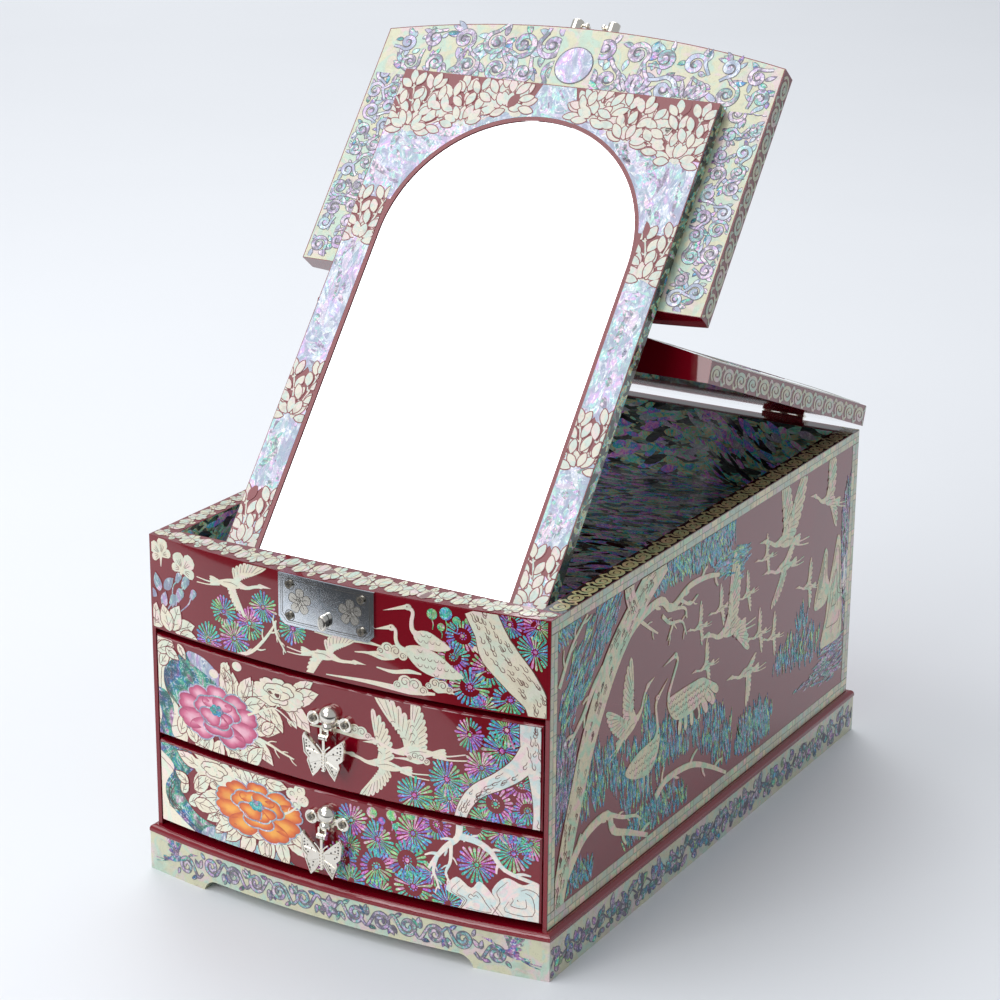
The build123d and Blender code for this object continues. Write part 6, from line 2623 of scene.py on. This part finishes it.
@dataclass
class MirrorPanel:
    """Mirror panel with leaf sprays and lilac shell round the arch."""

    stile: tuple[float, float] = (68.6, 84.3)
    arch_r: float = 68.6

    def build(self) -> None:
        """Lays the shell and dresses the glass."""
        dress(["mirror_frame", "mirror_bead"], Shell.RED)
        dress(["mirror_glass"], Shell.MIRROR)
        face = Level("front_leaf", LID_Z - MIRROR_T, -1.0, Leaf.FRONT)
        outer = self.stile[1]
        window = (-outer, outer, CUT_Y - MIRROR_RISE + 0.4, CUT_Y + MIRROR_FOOT - 0.4)
        inlay = Inlay(face, window, 65)
        pen = Pen(inlay)
        for side in (-1, 1):
            self.patches(pen, side)
            self.sprays(pen, side)
        self.crest(pen)
        inlay.build("mirror_panel")
        self.edges()

    @staticmethod
    def spot(x: float, along: float) -> Point:
        """Flat place on the panel, along being the way from the cut towards its foot."""
        return x, CUT_Y - along

    def patches(self, pen: Pen, side: int) -> None:
        """Lilac shell between the sprays of one stile and in its spandrel.

        Args:
            pen: The pen.
            side: 1 at the right, -1 at the left.
        """
        low, high = self.stile
        for a0, a1 in ((-59, 14), (-121, -77), (-182, -135)):
            across = [side * (low + (high - low) * i / 6) for i in range(7)]
            foot = [self.spot(x, a1 + 2.2 * math.sin(i * 1.9)) for i, x in enumerate(across)]
            head = [self.spot(x, a0 + 2.2 * math.sin(i * 2.3 + 1)) for i, x in enumerate(across)]
            self.chips(pen, foot + head[::-1])
        arc = []
        for i in range(15):
            a = math.radians(14 + 56 * i / 14)
            arc.append((side * self.arch_r * math.cos(a), MIRROR_SPRING + self.arch_r * math.sin(a)))
        corner = [(side * 40, 84), (side * 52, 78), (side * 66, 73), (side * high, 72), (side * high, 34)]
        self.chips(pen, [self.spot(*q) for q in [*arc, *corner]])

    @staticmethod
    def chips(pen: Pen, outline: Outline) -> None:
        """Patch of shell with broken pieces laid over it.

        Args:
            pen: The pen.
            outline: Outline of the patch.
        """
        pen.shape(outline, Shell.LILAC, 0)
        p = np.array(outline)
        (x0, y0), (x1, y1) = p.min(0), p.max(0)
        for k in range(int((x1 - x0) * (y1 - y0) / 9)):
            x, y = pen.chance(x0, x1), pen.chance(y0, y1)
            flake = leaf_outline(pen.chance(4, 15), pen.chance(1.2, 4.2), pen.chance(-0.3, 0.3))
            piece = pen.at(x, y, 55 + 40 * math.sin(x * 0.11 + y * 0.07) + pen.chance(-25, 25)).to(flake)
            if all(inside(q, outline) for q in piece):
                finish = (Shell.LILAC, Shell.LILAC, Shell.PALE, Shell.SCROLL)[k % 4]
                pen.inlay.lay(piece, finish, 1 + 0.1 * (k % 10))

    def sprays(self, pen: Pen, side: int) -> None:
        """Sprays of leaves on one stile and its corner.

        Args:
            pen: The pen.
            side: 1 at the right, -1 at the left.
        """
        inlay = pen.inlay
        whole = inlay.window
        low, high = self.stile
        inlay.window = (*sorted((side * low, side * high)), *whole[2:])
        for foot in (9.0, -84.0, -149.0):
            x, y = self.spot(side * 76.5, foot)
            for lean, length, pairs in ((-44, 13, 2), (44, 13, 2), (-15, 26, 4), (16, 28, 4)):
                spray(pen, x, y, -90 + lean, length, pairs, 7.6)
        inlay.window = whole
        inlay.hole = (0.0, CUT_Y - MIRROR_SPRING, MIRROR_OPENING_R + 1.0)
        for foot_x, foot_y, reach in ((72, 70, 30), (44, 76, 24), (24, 86, 15)):
            x, y = self.spot(side * foot_x, foot_y)
            for lean in (-62, 62, -36, 36, -12, 14):
                length = reach * (1.0 - abs(lean) / 220)
                spray(pen, x, y, -90 + lean, length, max(2, round(length / 7)), 7.8)
        inlay.hole = None

    def crest(self, pen: Pen) -> None:
        """Lilac shell over the top of the arch.

        Args:
            pen: The pen of the face.
        """
        arc = []
        for i in range(13):
            a = math.radians(62 + 56 * i / 12)
            arc.append(self.spot(self.arch_r * math.cos(a), MIRROR_SPRING + self.arch_r * math.sin(a)))
        top = ((-22, 88), (-11, 93), (-8, 102.4), (10, 102.4), (13, 94), (24, 88))
        self.chips(pen, arc + [self.spot(*q) for q in top])

    def edges(self) -> None:
        """Dark shell round the edge of the panel."""
        low, high = LID_Z - MIRROR_T + 0.3, LID_Z - 0.2
        reach = (CUT_Y - MIRROR_RISE + 0.3, CUT_Y + MIRROR_FOOT - 0.5)
        for side in (-1, 1):
            edge = Inlay(
                Flank("front_leaf", side * MIRROR_HALF_W, side, Leaf.FRONT), (*reach, low, high), 66,
            )
            edge.skin(Shell.SHARDS)
            edge.build("mirror_edge_right" if side > 0 else "mirror_edge_left")
        top = Inlay(
            Across("front_leaf", CUT_Y - MIRROR_RISE, -1.0, Leaf.FRONT), (-84.4, 84.4, low, high), 67,
        )
        top.skin(Shell.SHARDS)
        top.build("mirror_edge_top")


@dataclass
class Tray:
    """Open tray lined with dark shell chips and slivers, so many on its floor, sides and ends."""

    half_w: float = 94.8
    half_d: float = 150.2
    side_half: float = 150.3
    counts: tuple[int, int, int] = (1900, 520, 330)

    def build(self) -> None:
        """Covers floor and walls."""
        dress(["tray_floor"], Shell.SHARDS)
        on_floor, on_side, on_end = self.counts
        window = (-self.half_w, self.half_w, -self.half_d, self.half_d)
        floor = Inlay(Level("case", TRAY_FLOOR_Z, 1.0), window, 90)
        self.slivers(Pen(floor), on_floor)
        floor.build("tray_floor_shell")
        rise = (TRAY_FLOOR_Z + 0.2, RIM_Z - 0.2)
        inner = HALF_W - WALL
        window = (-self.side_half, self.side_half, *rise)
        for side in (-1, 1):
            inlay = Inlay(Flank("case", side * inner, -side), window, 91)
            inlay.skin(Shell.SHARDS)
            self.slivers(Pen(inlay), on_side)
            inlay.build("tray_wall_right" if side > 0 else "tray_wall_left")
        for y, way, name in ((-HALF_D + WALL, 1.0, "front"), (HALF_D - WALL, -1.0, "back")):
            inlay = Inlay(Across("case", y, way), (-self.half_w, self.half_w, *rise), 92)
            inlay.skin(Shell.SHARDS)
            self.slivers(Pen(inlay), on_end)
            inlay.build(f"tray_wall_{name}")

    @staticmethod
    def slivers(pen: Pen, count: int) -> None:
        """Broken slivers of bright shell strewn over dark ones.

        Args:
            pen: The pen.
            count: Slivers.
        """
        u0, u1, v0, v1 = pen.inlay.window
        drift = pen.chance(0, 6)
        for k in range(count):
            x, y = pen.chance(u0, u1), pen.chance(v0, v1)
            lean = 26 * math.sin(x * 0.05 + drift) + 22 * math.cos(y * 0.06) + pen.chance(-22, 22)
            length = pen.chance(5, 17)
            outline = leaf_outline(length, pen.chance(1.8, 5.0), pen.chance(-0.12, 0.12))
            finish = (Shell.SPARK, Shell.PALE, Shell.SPARK, Shell.SPARK, Shell.BLACK)[k % 5]
            pen.at(x, y, lean).shape(outline, finish, 1 + 0.25 * (k % 12), pen.chance(0, 1))


def loop(
    pen: Pen, points: Sequence[Point], width: float, shell: Shell, level: float, smooth: bool = True,
) -> None:
    """Lays a closed line, one short piece for each side.

    Args:
        pen: The pen.
        points: Its corners.
        width: Its width.
        shell: Finish.
        level: How many pieces lie under it.
        smooth: Whether it curves through its corners.
    """
    ring = curve(points, 3, True) if smooth else list(points)
    half = width / 2
    p = np.array(ring)
    ahead = np.roll(p, -1, axis=0) - p
    ahead /= np.linalg.norm(ahead, axis=1, keepdims=True)
    behind = np.roll(ahead, 1, axis=0)
    mitre = ahead + behind
    mitre /= np.maximum(np.linalg.norm(mitre, axis=1, keepdims=True), 1e-9)
    side = np.column_stack((mitre[:, 1], -mitre[:, 0])) * half
    for i in range(len(p)):
        j = (i + 1) % len(p)
        corners = [
            tuple(p[i] + side[i]), tuple(p[j] + side[j]), tuple(p[j] - side[j]), tuple(p[i] - side[i]),
        ]
        pen.shape(corners, shell, level, 0.5)


@dataclass
class Hardware:
    """Hinges, lock, pulls and lid handle."""

    screw_ring_r: float = 2.5
    ear_ring_r: float = 2.75
    cross_half: tuple[float, float] = (1.15, 0.22)

    def build(self) -> None:
        """Dresses the metal pieces and adds their small relief."""
        names = [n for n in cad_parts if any(w in n for w in ("hinge", "pull", "handle", "lock"))]
        dress([n for n in names if "screws" not in n and "lock_plate" not in n], Shell.NICKEL)
        dress([n for n in names if "screws" in n], Shell.DARK_METAL)
        dress(["lock_plate"], Shell.STEEL)
        self.plate()
        for name, x, z in PULLS:
            self.pull(name, x, z)

    def plate(self) -> None:
        """Engraved double border, flowers and screw rings of the lock plate, laid as dark metal lines that
        paint the shade of the cuts.
        """
        inlay = Inlay(Bowed("case", LOCK_T, cell=6.0), (-26.5, 23.3, LOCK_LOW, LOCK_TOP), 95)
        pen = Pen(inlay)
        for inset, width in ((1.3, 0.22), (2.2, 0.34)):
            x0, x1 = LOCK_X - LOCK_HALF_W + inset, LOCK_X + LOCK_HALF_W - inset
            z0, z1, c = LOCK_LOW + inset, LOCK_TOP - inset, LOCK_CORNER
            corners = ((x0, z1), (x0, z0 + c), (x0 + c, z0), (x1 - c, z0), (x1, z0 + c), (x1, z1))
            loop(pen, corners, width, Shell.GROOVE_SHADE, -3, False)
        for x, z in ((LOCK_X - 13.4, 155.4), (LOCK_X + 13.0, 155.6)):
            for i in range(5):
                petal = pen.at(x, z, 72 * i + 18)
                outline = leaf_outline(6.0, 4.4, 0.0, True)
                petal.shape(outline, Shell.NICKEL, -2.6, 0.5)
                loop(petal, outline, 0.26, Shell.GROOVE_SHADE, -2.2)
                petal.line([(1.6, 0), (3.0, 0.2), (4.4, 0)], (0.2, 0.3, 0.1), Shell.GROOVE_SHADE, -2.2, 0.5)
            loop(pen, ellipse(x, z, 1.3, 1.3, 8), 0.24, Shell.GROOVE_SHADE, -3)
        for x, z in LOCK_SCREWS:
            loop(pen, ellipse(x, z, self.screw_ring_r, self.screw_ring_r, 10), 0.36, Shell.GROOVE_SHADE, -3)
        inlay.build("lock_plate_engraving")
        for i, (x, z) in enumerate(LOCK_SCREWS):
            seat = float(bow_y(abs(x) - SCREW_R, LOCK_T)) - SCREW_H
            self.cross("case", x, z, seat, f"lock_screw_cross_{i}")

    def cross(self, body: str, x: float, z: float, y: float, name: str) -> None:
        """Cross recess of one screw, laid flat in dark metal whose darkness is painted shade of the recess.

        Args:
            body: Body it rides on.
            x: Middle.
            z: Middle.
            y: Face of the screw's head.
            name: Name of the object.
        """
        inlay = Inlay(Across(body, y, -1.0), (x - 3.4, x + 3.4, z - 3.4, z + 3.4), 96)
        pen = Pen(inlay, x, z, 20.0)
        long, thick = self.cross_half
        for turn in (0, 90):
            pen.at(0, 0, turn).shape(box_outline(-long, long, -thick, thick), Shell.GROOVE_SHADE, -3)
        inlay.build(name)

    def pull(self, name: str, x: float, z: float) -> None:
        """Relief of one butterfly, rings of its ears and crosses of its screws.

        Args:
            name: Which drawer.
            x: Middle of the pull.
            z: Height of its ears.
        """
        front = float(bow_y(0.0))
        pin_z = z - PULL_PIN_DROP
        ears = Inlay(Across(f"{name}_drawer", front - PULL_EAR_T, -1.0), (x - 12, x + 12, z - 5, z + 5), 97)
        for side in (-1, 1):
            spot = (x + side * PULL_EAR_X, z)
            loop(Pen(ears), ellipse(*spot, self.ear_ring_r, self.ear_ring_r, 12), 0.7, Shell.NICKEL, 6)
            self.cross(
                f"{name}_drawer", *spot, front - PULL_EAR_T - SCREW_H,
                f"{name}_pull_cross_{(side + 1) // 2}",
            )
        ears.build(f"{name}_pull_rings")
        face = Across(f"{name}_pendant", front - PULL_PIN_OUT - WING_T / 2, -1.0)
        wings = Inlay(face, (x - 11.3, x + 11.3, pin_z - 20, pin_z + 2), 98)
        for side in (-1, 1):
            pen = Pen(wings, x, pin_z, 0.0 if side > 0 else 180.0, 1.0, side < 0)
            self.wing(pen)
        pen = Pen(wings, x, pin_z)
        for i in range(6):
            pen.shape(ellipse(0, -8.0 - 1.5 * i, 1.0, 0.5, 10), Shell.NICKEL, 14)
        for side in (-1, 1):
            pen.line([(0, -7.4), (side * 1.6, -5.2), (side * 3.6, -3.4)], (0.7, 0.55, 0.7), Shell.NICKEL, 6)
        wings.build(f"{name}_butterfly")

    @staticmethod
    def wing(pen: Pen) -> None:
        """Raised rim, veins and dots of a right wing, the dots laid in dark metal as painted shade.

        Args:
            pen: Pen at the butterfly's head.
        """
        p = np.array(WING)
        middle = p.mean(0)
        inner = middle + (p - middle) * 0.9
        loop(pen, [tuple(q) for q in inner], 0.6, Shell.NICKEL, 8, False)
        for tip in ((9.2, -1.4), (9.2, -6.8), (5.6, -4.6)):
            pen.line(
                [(1.4, -8.6), ((1.4 + tip[0]) / 2, (tip[1] - 8.6) / 2 + 0.4), tip], (0.4, 0.5, 0.3),
                Shell.NICKEL, 7,
            )
        for tip in ((5.6, -17.4), (7.2, -13.6)):
            pen.line(
                [(1.4, -11.2), ((1.4 + tip[0]) / 2, (tip[1] - 11.2) / 2), tip], (0.4, 0.5, 0.3),
                Shell.NICKEL, 7,
            )
        dots = (
            (9.0, -2.9), (9.1, -4.4), (9.0, -5.8), (8.3, -7.9), (7.2, -8.9), (7.4, -3.2), (7.4, -5.4),
            (5.2, -6.6), (6.9, -15.0), (6.3, -16.4), (4.6, -15.0), (4.4, -13.2),
        )
        for dx, dz in dots:
            pen.shape(ellipse(dx, dz, 0.42, 0.42, 8), Shell.GROOVE_SHADE, 1)


@dataclass
class Studio:
    """Floor, lights and camera."""

    eye: tuple[float, float, float] = (631.3, -1102.8, 583.2)
    azimuth: float = 30.3466
    elevation: float = 18.5831
    roll: float = 0.5051
    lens: float = 99.51

    def build(self) -> None:
        """Sets the studio up."""
        self.camera()
        self.floor()
        self.light("key_softbox", (-1.05, -0.92, 1.75), (0, 0, 0.16), 1.7, 21.0)
        self.light("front_softbox", (-0.5, -2.4, 1.2), (0, 0, 0.1), 1.4, 28.0)
        self.light("top_softbox", (-0.5, 0.9, 2.2), (0, 0, 0.1), 1.6, 19.0)
        self.light("far_softbox", (-2.7, 3.0, 2.6), (-2.7, 3.2, 0.0), 2.6, 58.0)
        world = bpy.data.worlds.new("studio")
        bpy.context.scene.world = world
        world.use_nodes = True
        ground = world.node_tree.nodes["Background"]
        ground.inputs["Color"].default_value = (0.92, 0.95, 1.0, 1.0)
        ground.inputs["Strength"].default_value = 0.5
        bpy.context.scene.view_settings.view_transform = "Standard"

    def camera(self) -> None:
        """Camera at the photograph's angle."""
        az, el, roll = (math.radians(v) for v in (self.azimuth, self.elevation, self.roll))
        ahead = Vector((-math.sin(az) * math.cos(el), math.cos(az) * math.cos(el), -math.sin(el)))
        right = Vector((math.cos(az), math.sin(az), 0.0))
        up = right.cross(ahead)
        c, s = math.cos(roll), math.sin(roll)
        right, up = right * c + up * s, up * c - right * s
        data = bpy.data.cameras.new("camera")
        data.sensor_width = 36.0
        data.sensor_fit = "HORIZONTAL"
        data.lens = self.lens
        camera = bpy.data.objects.new("camera", data)
        bpy.context.scene.collection.objects.link(camera)
        turn = Matrix((right, up, -ahead)).transposed().to_4x4()
        spot = Vector((self.eye[0], self.eye[1] + SETBACK, self.eye[2])) * MM
        camera.matrix_world = Matrix.Translation(spot) @ turn
        bpy.context.scene.camera = camera

    def floor(self) -> None:
        """Plain pale paper that ends in front of the box, over a dark room."""
        edge = (
            (-6.0, -0.34), (-0.52, -0.41), (-0.31, -0.50), (-0.10, -0.462), (0.06, -0.36), (0.42, -0.16),
            (6.0, 1.6),
        )
        far = ((6.0, 9.0), (-6.0, 9.0))
        self.sheet(
            "studio_floor", [(x, y, 0.0) for x, y in (*edge, *far)], (0.70, 0.72, 0.75), (0.73, 0.75, 0.78),
        )
        # Near-black sheet below the paper standing in for the unlit room: painted shade that the lacquer
        # reflects beyond the paper's edge
        low = -0.5
        dark = [(-7.0, -7.0, low), (7.0, -7.0, low), (7.0, 3.0, low), (-7.0, 3.0, low)]
        self.sheet("dark_room_floor", dark, (0.010, 0.010, 0.012), (0.016, 0.016, 0.018))

    def sheet(
        self, name: str, corners: Sequence[tuple[float, float, float]], deep: Colour, pale: Colour,
    ) -> None:
        """Level sheet of the studio.

        Args:
            name: Its name.
            corners: Its corners in metres.
            deep: Its darker colour.
            pale: Its lighter colour.
        """
        mesh = bpy.data.meshes.new(name)
        mesh.from_pydata(corners, [], [tuple(range(len(corners)))])
        obj = bpy.data.objects.new(name, mesh)
        bpy.context.scene.collection.objects.link(obj)
        graph = Graph(name)
        cloud = graph.noise(graph.coords(), 3.0, 2.0)
        graph.set(Base_Color=graph.mix(deep, pale, cloud), Roughness=0.6)
        mesh.materials.append(graph.material)

    def light(
        self, name: str, spot: tuple[float, float, float], aim: tuple[float, float, float], size: float,
        power: float,
    ) -> None:
        """Square soft light.

        Args:
            name: Its name.
            spot: Its place in metres.
            aim: What it points at.
            size: Its side in metres.
            power: Its power in watts.
        """
        data = bpy.data.lights.new(name, "AREA")
        data.shape = "SQUARE"
        data.size = size
        data.energy = power
        obj = bpy.data.objects.new(name, data)
        bpy.context.scene.collection.objects.link(obj)
        obj.location = spot
        obj.rotation_euler = (Vector(spot) - Vector(aim)).to_track_quat("Z", "Y").to_euler()


def main() -> None:
    """Builds every sub-assembly."""
    logging.basicConfig(level=logging.INFO, format="%(name)s %(message)s")
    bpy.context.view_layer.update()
    dress(["side_left", "side_right", "back_panel", "front_rail"], Shell.RED)
    dress(["drawer_divider", "body_bottom"], Shell.WOOD)
    FixedPanel().build()
    Drawer("upper", 69.6, 119.2, 21, paint=upper_picture).build()
    Drawer("lower", 25.4, 66.8, 22, paint=lower_picture).build()
    for side in (1, -1):
        SidePanel(side, 31 + side).build()
    Rim().build()
    Plinth().build()
    Lid().build()
    MirrorPanel().build()
    Tray().build()
    Hardware().build()
    Studio().build()


if __name__ == "__main__":
    main()
